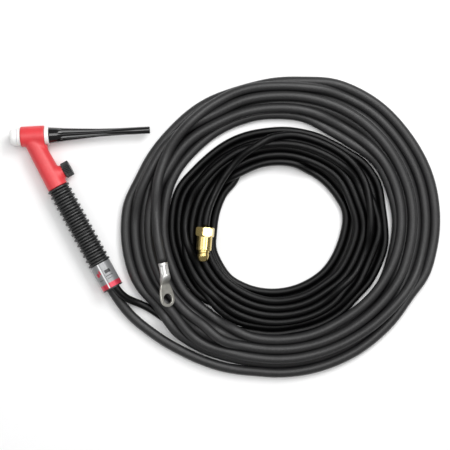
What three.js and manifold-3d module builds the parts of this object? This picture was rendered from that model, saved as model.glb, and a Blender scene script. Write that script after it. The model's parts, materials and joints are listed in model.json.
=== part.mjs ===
// A TIG welding torch with a gas valve in its neck, lying flat on z = 0 beside its coiled two-piece lead.
// Millimetres, +Z up. The handle runs along +Y from the lead to the head, and the back cap points to +X.
import * as THREE from "three";
import { mergeVertices } from "three/addons/utils/BufferGeometryUtils.js";
import Module from "manifold-3d";

const wasm = await Module();
wasm.setup();

// ---- Driving dimensions ----------------------------------------------------------------------

const gap = 0.3; // between pieces that touch, screw together or are moulded round each other
const pinGap = 0.2; // the same, round the small turning pieces

// Handle, from its open rear end (y = 0) to the neck
const handleLength = 146;
const handleWall = 1.25;
const ridgeHeight = 2.05;
const ridgeCount = 15;
const ridgeBase = 3.6;
const ridgeCrest = 1.4;
const tailLength = 35.5; // of the smooth end that the label sleeve covers
const rimLength = 1.5;
const foilThickness = 0.4;

// Neck and head
const neckLength = 73.5; // from the handle's front end to the head's axis
const neckWall = 1.7;
const neckTopInset = 1.6; // of the neck's side from the head's, where they meet
const spigotLength = 12;
const spigotWall = 1.35;
const capAngle = -25.6; // of the back cap's direction from +X, in degrees
const headRadius = 13;
const headFront = -11.7; // along the head's axis, which grows towards the back cap
const headBack = 18.5;
const headEdge = 1.5;
const coreRadius = 9;
const threadRadius = 5; // of the threads at both ends of the head core
const throatRadius = 2.6;
const throatLength = 2;
const throatPlace = 3;
const neckTubeRadius = 4.5;
const neckTubeBore = 2.5;
const socketDepth = 6.3; // from the head's axis to the end of the neck tube

// Electrode and what holds it
const electrodeRadius = 1.2;
const electrodeStickOut = 1; // past the collet body
const electrodeRoom = 20; // left behind it in the back cap
const electrodeCone = 4;
const colletWall = 0.6;
const colletLength = 21;
const colletSetback = 3; // of its front from the nozzle's back face
const slitWidth = 0.4;
const slitLength = 12;
const nozzleThreadRadius = 6.2;
const bodyTipRadius = 3.6;
const bodyTipLength = 2.5; // past the nozzle's back face
const gasHoleRadius = 0.6;

// Nozzle and its gasket
const gasketInset = 1.5; // from the head's side
const gasketLength = 4.2;
const gasketWall = 2.2;
const nozzleLength = 8.7;
const nozzleInset = 0.6; // from the gasket's side
const nozzleTipRadius = 7.5;
const nozzleMouth = 5.6;
const nozzleCollar = 4;

// Back cap
const insulatorInset = 1.3; // from the head's side
const insulatorLength = 5.2;
const capLength = 128;
const capMouthInset = 1.35; // from the insulator's side
const capEndRadius = 4.55;
const capBore = 2.2;
const capEndWall = 2.3;
const insertPlay = 0.5; // to the end of the collet, which it pushes home
const insertSeat = 9.5; // how far the threaded insert reaches into the cap
const insertBore = 1.9;
const capRingWidth = 2;
const capRingThickness = 1.7;
const capRingStand = 1.4; // of the sealing ring past the thread's radius

// Gas valve, on the +X side of the neck
const valvePlace = 14.5; // from the handle's front end
const housingRadius = 9.2;
const housingLength = 21;
const bossRadius = 8.6;
const bossReach = 16;
const bonnetRadius = 6.2;
const gasPassage = 2;
const seatRadius = 1.7;
const seatDepth = 2.8;
const stemRadius = 3;
const stemTail = 2.2;
const grooveRadius = 1.9;
const groovePlace = 8.3;
const grooveWidth = 2.4;
const knobRadius = 10.1;
const knobThickness = 9.9;
const knobGap = 0.5;
const knobFlutes = 18;
const fluteDepth = 0.7;
const screwRadius = 1.1;
const screwHeadRadius = 3;
const screwHeadHeight = 1.8;
const screwLength = 6;

// Lead: power cable and gas hose
const cableRadius = 6.25;
const hoseRadius = 4.75;
const leadTurn = 50; // of the hose round the handle's axis from +X, in degrees; the cable is opposite
const jacketWall = 1.65;
const ferruleWall = 1;
const cableSetback = 66; // of the cable's end from the handle's front end
const hoseSetback = 15;
const strippedLength = 20;
const ferruleLength = 30;
const studRadius = 4;
const barbRadius = 3;
const barbBore = 1.5;
const barbDepth = 17;

// Coils
const cableCoil = { x: 223, y: -31, inner: 137, outer: 194, height: 24, wide: 1.025, tall: 0.975 };
const hoseCoil = { x: 224.5, y: -36, inner: 80, outer: 127, height: 20, wide: 1.03, tall: 0.97 };
const coilEdge = 5; // of the bevel round each coil's edges
const coilTurn = -28.7; // of the coils' long direction from +X, in degrees

// Cable lug
const lugDirection = [-0.307, -0.951];
const lugRoll = -37;
const lugWall = 1.4;
const lugLength = 56;
const barrelLength = 18;
const padThickness = 3;
const padRadius = 10.25;
const padNeck = 6.2;
const lugHole = 6.5;

// Gas fitting
const fittingDirection = [-0.55, -0.835];
const fittingTurn = 12;
const nutAcrossFlats = 21;
const hexLength = 11.6;
const collarRadius = 9.7;
const collarLength = 17.4;
const nutClearance = 0.45; // round the hose that passes through it
const shoulderRadius = 7.8;
const noseRadius = 7.4;
const noseLength = 13.7;
const noseTip = 4.6;
const noseGroove = 0.7;

// ---- Sizes that follow from these --------------------------------------------------------------

const handleBore = cableRadius + hoseRadius + 1.5 * gap;
const tailRadius = handleBore + handleWall;
const rimRadius = tailRadius + gap + foilThickness;
const ridgeRadius = tailRadius + ridgeHeight;
const valleyRadius = tailRadius + 0.1;
const neckRadius = handleBore + neckWall;
const neckTopRadius = headRadius - neckTopInset;
const headY = handleLength + neckLength;
const valveY = handleLength + valvePlace;
const cableEnd = handleLength - cableSetback;
const hoseEnd = handleLength - hoseSetback;
const conductorRadius = cableRadius - jacketWall;
const ferruleRadius = conductorRadius + gap + ferruleWall;
const lugRadius = conductorRadius + gap + lugWall;
const nutBore = hoseRadius + nutClearance;

// Routes of the uncoiled stretches, as x, y from the handle's rear end and z above the floor
const cableLeadRoute = [
  [-2, -12, 9.8], [-1, -25, 8], [2, -40, 6.7], [7, -55, 6.25], [15, -73, 6.25], [24, -91, 6.25],
  [34, -107, 6.25], [45, -123, 6.25], [57, -138, 6.25], [71, -153, 6.25], [88, -167, 6.25],
  [107, -180, 6.25], [126, -190, 6.25], [147, -199, 6.25],
];
const hoseLeadRoute = [
  [4.4, -6, 19], [6, -13, 17], [9, -20, 13.5], [14, -27, 9], [19, -33, 6], [24, -40, 4.9],
  [29, -48, 4.75], [34, -58, 4.75], [40, -70, 4.75], [48, -83, 4.75], [61, -97, 4.75], [78, -108, 4.75],
  [97, -117, 4.75], [117, -124, 4.75], [135, -130, 4.75],
];
const cableTailRoute = [
  [304, 128, 19], [289, 134.5, 24.5], [272, 140, 29], [253, 143.5, 30.6], [234, 144, 30.6],
  [214, 142.5, 30.6], [195, 139, 30.6], [177, 134, 30.6], [161, 127.5, 30.6], [146, 119, 30.6],
  [133, 109, 30.6], [121, 98, 30.6], [111, 85.5, 30.6], [102, 72, 30.6], [94, 57, 31], [86, 41.5, 32.5],
  [80, 26, 34.5], [76, 11.5, 35.6], [71.8, -1.7, 35.8],
];
const hoseTailRoute = [
  [273, 64, 15.5], [256, 69, 21], [239, 70.5, 25.1], [222, 68, 25.2], [205, 62.5, 25.2], [189, 55, 25.5],
  [174.5, 46, 26.8], [162.5, 37, 28.8], [153, 28.5, 31], [145.6, 19.8, 32.4], [140.2, 11.6, 32.6],
];

// ---- Making and cutting solids ---------------------------------------------------------------

const degrees = Math.PI / 180;

// A closed geometry as a solid that can be joined and cut.
function solidOf(geometry) {
  const bare = geometry.index ? geometry.toNonIndexed() : geometry.clone();
  bare.deleteAttribute("normal");
  bare.deleteAttribute("uv");
  const merged = mergeVertices(bare, 1e-3);
  return new wasm.Manifold(
    new wasm.Mesh({
      numProp: 3,
      vertProperties: merged.attributes.position.array,
      triVerts: new Uint32Array(merged.index.array),
    }),
  );
}

function geometryOf(solid) {
  const mesh = solid.getMesh();
  const geometry = new THREE.BufferGeometry();
  geometry.setAttribute("position", new THREE.BufferAttribute(new Float32Array(mesh.vertProperties), 3));
  geometry.setIndex(new THREE.BufferAttribute(new Uint32Array(mesh.triVerts), 1));
  geometry.computeVertexNormals();
  return geometry;
}

function cut(body, ...tools) {
  return geometryOf(tools.reduce((left, tool) => left.subtract(solidOf(tool)), solidOf(body)));
}

function join(first, ...others) {
  return geometryOf(others.reduce((whole, piece) => whole.add(solidOf(piece)), solidOf(first)));
}

// A solid turned about the y axis. The profile is [radius, y] pairs that go up the outside, and down the
// inside of a hollow piece, which closes on itself.
function turned(profile, sides = 20) {
  const points = profile.map(([radius, y]) => new THREE.Vector2(radius, y));
  if (profile[0][0] > 0) points.push(points[0].clone());
  return new THREE.LatheGeometry(points, sides);
}

function rod(radius, low, high, sides = 20) {
  return turned([[0, low], [radius, low], [radius, high], [0, high]], sides);
}

function pipe(outer, inner, low, high, sides = 20) {
  return turned([[outer, low], [outer, high], [inner, high], [inner, low]], sides);
}

// A piece made along y, turned to lie along the head's axis.
function alongHead(geometry) {
  return geometry.rotateZ((capAngle - 90) * degrees).translate(0, headY, 0);
}

// A piece made along y, turned to lie along the valve's axis, which points to +X.
function alongValve(geometry) {
  return geometry.rotateZ(-90 * degrees).translate(0, valveY, 0);
}

function routeCurve(points) {
  const bends = points.map((point) => new THREE.Vector3(...point));
  return new THREE.CatmullRomCurve3(bends, false, "centripetal");
}

// A round cord along a curve, with steps about two and a half diameters long, grown all round by extra.
function cord(curve, radius, extra = 0) {
  const sides = 12;
  const section = new THREE.Shape();
  for (let i = 0; i < sides; i++) {
    const turn = ((i + 0.5) / sides) * 2 * Math.PI;
    const corner = [(radius + extra) * Math.cos(turn), (radius + extra) * Math.sin(turn)];
    if (i === 0) section.moveTo(...corner);
    else section.lineTo(...corner);
  }
  section.closePath();
  const steps = Math.ceil(curve.getLength() / (2.5 * 2 * radius));
  return new THREE.ExtrudeGeometry(section, { steps, extrudePath: curve });
}

// ---- Handle ----------------------------------------------------------------------------------

// Centres of the two leads inside the handle, side by side across its bore.
const hoseOffset = handleBore - gap - hoseRadius;
const cableOffset = handleBore - gap - cableRadius;
const across = [Math.cos(leadTurn * degrees), Math.sin(leadTurn * degrees)];
const hosePlace = { x: hoseOffset * across[0], z: hoseOffset * across[1] };
const cablePlace = { x: -cableOffset * across[0], z: -cableOffset * across[1] };

function handleGrip() {
  const outside = [
    [rimRadius, 0],
    [rimRadius, rimLength],
    [tailRadius, rimLength],
    [tailRadius, tailLength],
  ];
  const pitch = (handleLength - tailLength - ridgeBase) / (ridgeCount - 1);
  const slope = (ridgeBase - ridgeCrest) / 2;
  for (let i = 0; i < ridgeCount; i++) {
    const low = tailLength + i * pitch;
    outside.push([valleyRadius, low], [ridgeRadius, low + slope]);
    outside.push([ridgeRadius, low + slope + ridgeCrest], [valleyRadius, low + ridgeBase]);
  }
  return turned([...outside, [handleBore, handleLength], [handleBore, 0]]);
}

function labelSleeve() {
  const inner = rimRadius - foilThickness;
  return pipe(rimRadius, inner, rimLength + gap, tailLength - gap);
}

// ---- Torch body ------------------------------------------------------------------------------

const neckStart = handleLength + gap;
const housingStart = valveY - housingLength / 2;

function valveHousingSpace(extra) {
  const barrel = rod(housingRadius + extra, housingStart - extra, housingStart + housingLength + extra);
  const bonnet = alongValve(rod(bonnetRadius + extra, 0, bossReach + extra));
  return join(barrel, bonnet);
}

// The moulded cover over the neck and head, open at both ends of the head and round the valve's bonnet.
function torchBodyShell() {
  const neck = turned([
    [0, handleLength - spigotLength],
    [handleBore - gap, handleLength - spigotLength],
    [handleBore - gap, neckStart],
    [neckRadius, neckStart],
    [neckRadius - 0.4, valveY],
    [(neckRadius + neckTopRadius) / 2, (neckStart + headY) / 2],
    [neckTopRadius, headY - headRadius],
    [neckTopRadius, headY],
    [0, headY],
  ]);
  const head = alongHead(
    turned([
      [0, headFront],
      [headRadius - headEdge, headFront],
      [headRadius, headFront + headEdge],
      [headRadius, headBack - headEdge],
      [headRadius - headEdge, headBack],
      [0, headBack],
    ]),
  );
  const boss = alongValve(rod(bossRadius, 0, bossReach));
  const cavity = rod(handleBore - gap - spigotWall, handleLength - spigotLength - 1, housingStart);
  const tubeSpace = rod(neckTubeRadius + gap, housingStart + housingLength, headY);
  const coreSpace = alongHead(rod(coreRadius + gap, headFront - 1, headBack + 1));
  return cut(join(neck, head, boss), cavity, tubeSpace, coreSpace, valveHousingSpace(gap));
}

// The brass head block, threaded at both ends, with a socket for the neck tube.
function headCore() {
  const front = headFront + gap;
  const back = headBack - gap;
  const bored = threadRadius + gap;
  const block = alongHead(
    turned([
      [coreRadius, front],
      [coreRadius, back],
      [bored, back],
      [bored, throatPlace + throatLength],
      [throatRadius, throatPlace + throatLength],
      [throatRadius, throatPlace],
      [bored, throatPlace],
      [bored, front],
    ]),
  );
  const socket = rod(neckTubeRadius + gap, headY - 3 * socketDepth, headY - socketDepth);
  const port = rod(neckTubeBore, headY - 2 * socketDepth, headY);
  return cut(block, socket, port);
}

function neckTube() {
  return pipe(neckTubeRadius, neckTubeBore, housingStart + housingLength + gap, headY - socketDepth - gap);
}

// ---- Consumables at the front ----------------------------------------------------------------

const gasketBack = headFront - gap;
const gasketFront = gasketBack - gasketLength;
const nozzleBack = gasketFront - gap;
const nozzleFront = nozzleBack - nozzleLength;
const nozzleBore = nozzleThreadRadius + gap;
const gasketRadius = headRadius - gasketInset;
const bodyTipEnd = nozzleBack - bodyTipLength;
const colletFront = nozzleBack + colletSetback;
const electrodeTip = bodyTipEnd - electrodeStickOut;

function frontGasket() {
  return alongHead(pipe(gasketRadius, gasketRadius - gasketWall, gasketFront, gasketBack));
}

function gasNozzle() {
  const collarRadius = gasketRadius - gasketWall - gap;
  const nozzleBaseRadius = gasketRadius - nozzleInset;
  const shoulder = 5;
  const outside = [];
  for (let i = 0; i <= shoulder; i++) {
    const turn = (i / shoulder) * 90 * degrees;
    const radius = nozzleTipRadius + (nozzleBaseRadius - nozzleTipRadius) * Math.sin(turn);
    outside.push([radius, nozzleFront + nozzleLength * 0.8 * (1 - Math.cos(turn))]);
  }
  return alongHead(
    turned([
      ...outside,
      [nozzleBaseRadius, nozzleBack],
      [collarRadius, nozzleBack],
      [collarRadius, nozzleBack + nozzleCollar],
      [nozzleBore, nozzleBack + nozzleCollar],
      [nozzleBore, nozzleBack],
      [nozzleMouth, nozzleBack - 1],
      [nozzleMouth, nozzleFront],
    ]),
  );
}

function colletBody() {
  const back = throatPlace - gap;
  const flangeBack = headFront;
  const flangeFront = nozzleBack + nozzleCollar + gap;
  const threadFront = nozzleBack + 0.1;
  const wide = electrodeRadius + colletWall + 2 * gap;
  const narrow = electrodeRadius + gap;
  const body = turned([
    [bodyTipRadius, bodyTipEnd],
    [bodyTipRadius, threadFront],
    [nozzleThreadRadius, threadFront],
    [nozzleThreadRadius, flangeFront],
    [threadRadius, flangeBack],
    [threadRadius, back],
    [wide, back],
    [wide, colletFront - gap],
    [narrow, colletFront - 2 * gap],
    [narrow, bodyTipEnd],
  ]);
  const holePlace = (bodyTipEnd + threadFront) / 2;
  const holes = [0, 90].map((turn) =>
    rod(gasHoleRadius, -threadRadius, threadRadius, 8)
      .rotateZ(90 * degrees)
      .rotateY(turn * degrees)
      .translate(0, holePlace, 0),
  );
  return alongHead(cut(body, ...holes));
}

// The slit copper sleeve that grips the electrode.
function collet() {
  const inner = electrodeRadius + gap;
  const outer = inner + colletWall;
  const sleeve = pipe(outer, inner, colletFront, colletFront + colletLength);
  const slits = [0, 90].map((turn) =>
    new THREE.BoxGeometry(3 * outer, slitLength, slitWidth)
      .translate(0, colletFront + slitLength / 2 - 0.5, 0)
      .rotateY((turn + 4.5) * degrees),
  );
  return alongHead(cut(sleeve, ...slits));
}

// ---- Back cap --------------------------------------------------------------------------------

const insulatorRadius = headRadius - insulatorInset;
const capMouthRadius = insulatorRadius - capMouthInset;
const capRingRadius = threadRadius + capRingStand;
const insulatorBore = capRingRadius + gap;
const insulatorFront = headBack + gap;
const insulatorBack = insulatorFront + insulatorLength;
const capFront = insulatorBack + gap;
const capBack = capFront + capLength;
const insertFront = colletFront + colletLength + insertPlay;
const insertBack = capFront + insertSeat;
const capRingPlace = insulatorFront + 1.4;

function rearInsulator() {
  return alongHead(pipe(insulatorRadius, insulatorBore, insulatorFront, insulatorBack));
}

// The brass insert, threaded into the head core, with a groove for the sealing ring.
function backCapInsert() {
  const grooveFloor = capRingRadius - capRingThickness - gap;
  const groove = [
    [threadRadius, capRingPlace - gap],
    [grooveFloor, capRingPlace - gap],
    [grooveFloor, capRingPlace + capRingWidth + gap],
    [threadRadius, capRingPlace + capRingWidth + gap],
  ];
  const back = insertBack - gap;
  const bore = [
    [insertBore, back],
    [insertBore, insertFront],
  ];
  return alongHead(turned([[threadRadius, insertFront], ...groove, [threadRadius, back], ...bore]));
}

function backCapRing() {
  const bevel = 0.4;
  const high = capRingPlace + capRingWidth;
  return alongHead(
    turned([
      [capRingRadius - bevel, capRingPlace],
      [capRingRadius, capRingPlace + bevel],
      [capRingRadius, high - bevel],
      [capRingRadius - bevel, high],
      [capRingRadius - capRingThickness, high],
      [capRingRadius - capRingThickness, capRingPlace],
    ]),
  );
}

// The long phenolic cap: a flared collar, then a slender taper that covers the electrode's tail.
function backCap() {
  const taper = [
    [0, 1],
    [0.06, 0.86],
    [0.12, 0.71],
    [0.14, 0.65],
    [0.3, 0.4],
    [0.5, 0.11],
    [0.7, 0],
    [0.99, 0],
  ];
  const outside = taper.map(([share, swell]) => [
    capEndRadius + (capMouthRadius - capEndRadius) * swell,
    capFront + capLength * share,
  ]);
  return alongHead(
    turned([
      [threadRadius + gap, capFront],
      ...outside,
      [capEndRadius - 0.8, capBack],
      [0, capBack],
      [0, capBack - capEndWall],
      [capBore, capBack - capEndWall],
      [capBore, insertBack],
      [threadRadius + gap, insertBack],
    ]),
  );
}

// The electrode runs from the nozzle's mouth through the collet and insert into the cap.
function tungstenElectrode() {
  const back = capBack - capEndWall - electrodeRoom;
  const profile = [
    [0, electrodeTip],
    [electrodeRadius, electrodeTip + electrodeCone],
    [electrodeRadius, back],
    [0, back],
  ];
  return alongHead(turned(profile, 16));
}

// ---- Gas valve -------------------------------------------------------------------------------

const knobStart = bossReach + knobGap;
const knobEnd = knobStart + knobThickness;
const stemEnd = knobEnd - 2.4;
const stemBore = stemRadius + pinGap;

function valveHousing() {
  const block = join(
    rod(housingRadius, housingStart, housingStart + housingLength),
    alongValve(rod(bonnetRadius, 0, bossReach - gap)),
  );
  const passage = rod(gasPassage, housingStart - 1, housingStart + housingLength + 1);
  const seat = alongValve(rod(seatRadius, -1, seatDepth + 1));
  const bore = alongValve(rod(stemBore, seatDepth, bossReach + 1));
  return cut(block, passage, seat, bore);
}

function valveStem() {
  const needle = seatRadius - pinGap;
  return alongValve(
    turned([
      [0, -1.5],
      [needle, 1],
      [needle, seatDepth + gap],
      [stemRadius, seatDepth + 2 * gap],
      [stemRadius, groovePlace],
      [grooveRadius, groovePlace],
      [grooveRadius, groovePlace + grooveWidth],
      [stemRadius, groovePlace + grooveWidth],
      [stemRadius, bossReach],
      [stemTail, bossReach],
      [stemTail, stemEnd],
      [screwRadius + gap, stemEnd],
      [screwRadius + gap, stemEnd - screwLength - gap],
      [0, stemEnd - screwLength - gap],
    ]),
  );
}

function valveRing() {
  const inner = grooveRadius + pinGap;
  const outer = stemBore - 0.1;
  return alongValve(pipe(outer, inner, groovePlace + gap, groovePlace + grooveWidth - gap));
}

function valveKnob() {
  const outline = new THREE.Shape();
  for (let i = 0; i < knobFlutes * 4; i++) {
    const turn = (i / (knobFlutes * 4)) * 2 * Math.PI;
    const radius = knobRadius - (i % 4 === 0 ? fluteDepth : 0);
    const corner = [radius * Math.cos(turn), radius * Math.sin(turn)];
    if (i === 0) outline.moveTo(...corner);
    else outline.lineTo(...corner);
  }
  outline.closePath();
  const body = new THREE.ExtrudeGeometry(outline, { depth: knobThickness, bevelEnabled: false });
  body.rotateX(-90 * degrees).translate(0, knobStart, 0);
  const bore = rod(stemTail + gap, knobStart - 1, knobEnd + 1);
  const recess = rod(screwHeadRadius + gap, stemEnd + 0.1, knobEnd + 1);
  return alongValve(cut(body, bore, recess));
}

function knobScrew() {
  const under = stemEnd + 0.1 + gap;
  const top = under + screwHeadHeight;
  const screw = turned([
    [0, stemEnd - screwLength],
    [screwRadius, stemEnd - screwLength],
    [screwRadius, under],
    [screwHeadRadius, under],
    [screwHeadRadius, top - 0.6],
    [screwHeadRadius - 1, top],
    [0, top],
  ]);
  const slot = new THREE.BoxGeometry(0.8, 1.6, 3 * screwHeadRadius).translate(0, top, 0);
  return alongValve(cut(screw, slot));
}

// ---- Connections inside the handle -----------------------------------------------------------

function placedAt(geometry, place) {
  return geometry.translate(place.x, 0, place.z);
}

// The brass stud that carries the current from the crimped cable to the valve housing.
function powerStud() {
  const low = cableEnd + strippedLength + 2 * gap;
  return placedAt(rod(studRadius, low, housingStart - gap), cablePlace);
}

function cableFerrule() {
  const low = cableEnd + 2;
  return placedAt(pipe(ferruleRadius, conductorRadius + gap, low, low + ferruleLength), cablePlace);
}

function powerConductor() {
  return placedAt(rod(conductorRadius, cableEnd + gap, cableEnd + strippedLength), cablePlace);
}

// Barb rings on a tube's end, from its tip at low up to high, as [radius, y] pairs.
function barbs(low, high, count) {
  const step = (high - low) / count;
  const teeth = [];
  for (let i = 0; i < count; i++) {
    teeth.push([barbRadius - 0.6, low + i * step], [barbRadius, low + (i + 0.8) * step]);
  }
  return teeth;
}

function gasBarb() {
  const tip = hoseEnd - barbDepth;
  const profile = [
    ...barbs(tip, hoseEnd - 2, 4),
    [barbRadius - 0.6, hoseEnd - 2],
    [barbRadius - 0.6, housingStart - gap],
    [barbBore, housingStart - gap],
    [barbBore, tip],
  ];
  return placedAt(turned(profile, 16), hosePlace);
}

// ---- Lead ------------------------------------------------------------------------------------

// Lifts what is built round the handle's axis so that the grip rests on the floor.
const axisHeight = ridgeRadius;

function startInHandle(place, end) {
  const height = place.z + axisHeight;
  return [[place.x, end, height], [place.x, end / 2, height], [place.x, 0, height]];
}

const cableLeadCurve = routeCurve([...startInHandle(cablePlace, cableEnd), ...cableLeadRoute]);
const hoseLeadCurve = routeCurve([...startInHandle(hosePlace, hoseEnd), ...hoseLeadRoute]);
const cableTailCurve = routeCurve(cableTailRoute);
const hoseTailCurve = routeCurve(hoseTailRoute);

// A round coil as one ring with rounded edges, grown all round by extra, and drawn out into an oval.
function coilRing(coil, extra) {
  const round = coilEdge + extra;
  const low = -extra;
  const high = coil.height + extra;
  const inner = coil.inner - extra;
  const outer = coil.outer + extra;
  const ring = turned(
    [
      [outer - round, low],
      [outer, low + round],
      [outer, high - round],
      [outer - round, high],
      [inner + round, high],
      [inner, high - round],
      [inner, low + round],
      [inner + round, low],
    ],
    48,
  );
  ring.rotateX(90 * degrees).scale(coil.wide, coil.tall, 1);
  return ring.rotateZ(coilTurn * degrees).translate(coil.x, coil.y, 0);
}

function powerCableLead() {
  return cut(cord(cableLeadCurve, cableRadius), coilRing(cableCoil, gap));
}

// The hose's bore only opens at its ends, where a barb sits in it.
function hoseBore(point, direction) {
  const along = new THREE.Vector3(...direction).normalize();
  const turn = new THREE.Quaternion().setFromUnitVectors(new THREE.Vector3(0, 1, 0), along);
  const bore = rod(barbRadius + gap, -barbDepth - gap, 2, 12).applyQuaternion(turn);
  return bore.translate(...point);
}

function gasHoseLead() {
  const start = [hosePlace.x, hoseEnd, hosePlace.z + axisHeight];
  return cut(cord(hoseLeadCurve, hoseRadius), coilRing(hoseCoil, gap), hoseBore(start, [0, 1, 0]));
}

// The cable's coil, with the channel through its underside where the hose passes.
function powerCableCoil() {
  return cut(coilRing(cableCoil, 0), cord(hoseLeadCurve, hoseRadius, gap));
}

function powerCableTail() {
  return cut(cord(cableTailCurve, cableRadius), coilRing(cableCoil, gap));
}

function gasHoseTail() {
  const end = hoseTailRoute[hoseTailRoute.length - 1];
  const direction = [...fittingDirection, 0];
  return cut(cord(hoseTailCurve, hoseRadius), coilRing(hoseCoil, gap), hoseBore(end, direction));
}

// ---- Cable lug -------------------------------------------------------------------------------

// A group at the end of a route, with its y axis along a level direction and rolled about it.
function endGroup(route, direction, roll) {
  const group = new THREE.Group();
  group.position.set(...route[route.length - 1]);
  group.rotation.set(0, roll * degrees, Math.atan2(direction[1], direction[0]) - Math.PI / 2, "ZYX");
  return group;
}

// A tube crimped on the cable and pressed flat into a drilled pad at its lower side.
function cableLug() {
  const padTop = -lugRadius + padThickness;
  const ringPlace = lugLength - padRadius;
  const slope = 9;
  const barrel = rod(lugRadius, 0, barrelLength + slope, 28);
  const press = new THREE.Shape();
  press.moveTo(barrelLength, lugRadius + 0.01);
  press.lineTo(barrelLength + slope, padTop);
  press.lineTo(lugLength, padTop);
  press.lineTo(lugLength, lugRadius + 0.01);
  press.closePath();
  const pressed = new THREE.ExtrudeGeometry(press, { depth: 4 * lugRadius, bevelEnabled: false });
  pressed.translate(0, 0, -2 * lugRadius);
  pressed.applyMatrix4(new THREE.Matrix4().set(0, 0, 1, 0, 1, 0, 0, 0, 0, 1, 0, 0, 0, 0, 0, 1));

  const outline = new THREE.Shape();
  outline.moveTo(-padNeck * 0.8, barrelLength);
  outline.lineTo(padNeck * 0.8, barrelLength);
  outline.lineTo(padNeck, barrelLength + slope);
  outline.quadraticCurveTo(padRadius, ringPlace - padRadius, padRadius, ringPlace);
  outline.absarc(0, ringPlace, padRadius, 0, Math.PI, false);
  outline.quadraticCurveTo(-padRadius, ringPlace - padRadius, -padNeck, barrelLength + slope);
  outline.closePath();
  const thickness = { depth: padThickness, bevelEnabled: false, curveSegments: 14 };
  const pad = new THREE.ExtrudeGeometry(outline, thickness);
  pad.translate(0, 0, -lugRadius);

  const bore = rod(conductorRadius + gap, -1, barrelLength);
  const hole = rod(lugHole, -1, 2 * lugRadius, 28).rotateX(90 * degrees);
  hole.translate(0, ringPlace, -lugRadius);
  return cut(join(cut(barrel, pressed), pad), bore, hole).translate(0, gap, 0);
}

function lugConductor() {
  return rod(conductorRadius, gap, barrelLength - gap);
}

// ---- Gas fitting -----------------------------------------------------------------------------

// The union nut: a hexagon and a round collar in one piece, free to spin on the nipple.
function gasNut() {
  const corner = nutAcrossFlats / Math.sqrt(3);
  const hex = turned([[0, 0], [corner, 0], [corner, hexLength], [0, hexLength]], 6);
  const trim = turned([
    [0, 0],
    [corner - 1, 0],
    [corner + 0.1, 1],
    [corner + 0.1, hexLength - 1],
    [corner - 1, hexLength],
    [0, hexLength],
  ]);
  const chamfered = geometryOf(solidOf(hex).intersect(solidOf(trim)));
  const collar = rod(collarRadius, hexLength - 1, hexLength + collarLength);
  const bore = rod(nutBore, -1, hexLength);
  const chamber = rod(shoulderRadius + pinGap, hexLength - 3, hexLength + collarLength + 1);
  return cut(join(chamfered, collar), bore, chamber).translate(0, gap, 0);
}

// The bullet-nosed nipple that the nut draws into its seat, with a barb into the hose.
function gasNipple() {
  const base = hexLength - 3 + 2 * gap;
  const mouth = hexLength + collarLength + gap;
  const nose = mouth + noseLength;
  const neck = barbRadius + 0.6;
  const profile = [
    ...barbs(-barbDepth, -2, 4),
    [barbRadius - 0.6, -2],
    [barbRadius - 0.6, gap],
    [neck, 2 * gap],
    [neck, base],
    [shoulderRadius, base],
    [shoulderRadius, base + 3],
    [noseRadius, base + 3.5],
    [noseRadius, mouth + 2.5],
    [noseRadius - noseGroove, mouth + 3],
    [noseRadius - noseGroove, mouth + 4.2],
    [noseRadius, mouth + 4.7],
    [noseRadius, mouth + 7.5],
    [noseRadius - 0.8, nose - 3.4],
    [noseTip + 0.8, nose - 0.8],
    [noseTip, nose],
    [gasPassage, nose],
    [gasPassage, hexLength],
    [barbBore, base],
    [barbBore, -barbDepth],
  ];
  return turned(profile, 18);
}

// ---- Assembly --------------------------------------------------------------------------------

const finishes = {
  red: { color: 0xd93a46, roughness: 0.45, metalness: 0 },
  black: { color: 0x1b1b1d, roughness: 0.6, metalness: 0 },
  gloss: { color: 0x101012, roughness: 0.25, metalness: 0 },
  white: { color: 0xf2f1ec, roughness: 0.5, metalness: 0 },
  foil: { color: 0xa5a8ab, roughness: 0.35, metalness: 0.6 },
  brass: { color: 0xc9a54e, roughness: 0.25, metalness: 1 },
  copper: { color: 0xb87050, roughness: 0.35, metalness: 1 },
  tin: { color: 0xc2c1ba, roughness: 0.3, metalness: 1 },
  steel: { color: 0x9a9da0, roughness: 0.35, metalness: 1 },
  tungsten: { color: 0x83868a, roughness: 0.4, metalness: 1 },
  seal: { color: 0x2a2a2a, roughness: 0.8, metalness: 0 },
  cable: { color: 0x2b2b2d, roughness: 0.6, metalness: 0 },
  hose: { color: 0x151516, roughness: 0.5, metalness: 0 },
};

function add(group, name, geometry, finish) {
  const mesh = new THREE.Mesh(geometry, new THREE.MeshStandardMaterial(finishes[finish]));
  mesh.name = name;
  group.add(mesh);
}

const torch = new THREE.Group();
torch.position.z = axisHeight;
add(torch, "torch_body_shell", torchBodyShell(), "red");
add(torch, "head_core", headCore(), "brass");
add(torch, "neck_tube", neckTube(), "brass");
add(torch, "front_gasket", frontGasket(), "white");
add(torch, "gas_nozzle", gasNozzle(), "white");
add(torch, "collet_body", colletBody(), "copper");
add(torch, "collet", collet(), "copper");
add(torch, "tungsten_electrode", tungstenElectrode(), "tungsten");
add(torch, "rear_insulator", rearInsulator(), "white");
add(torch, "back_cap", backCap(), "gloss");
add(torch, "back_cap_insert", backCapInsert(), "brass");
add(torch, "back_cap_o_ring", backCapRing(), "seal");
add(torch, "valve_housing", valveHousing(), "brass");
add(torch, "valve_stem", valveStem(), "steel");
add(torch, "valve_o_ring", valveRing(), "seal");
add(torch, "valve_knob", valveKnob(), "black");
add(torch, "knob_screw", knobScrew(), "steel");
add(torch, "handle_grip", handleGrip(), "black");
add(torch, "label_sleeve", labelSleeve(), "foil");
add(torch, "power_stud", powerStud(), "brass");
add(torch, "cable_ferrule", cableFerrule(), "copper");
add(torch, "power_conductor", powerConductor(), "copper");
add(torch, "gas_barb", gasBarb(), "brass");

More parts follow.
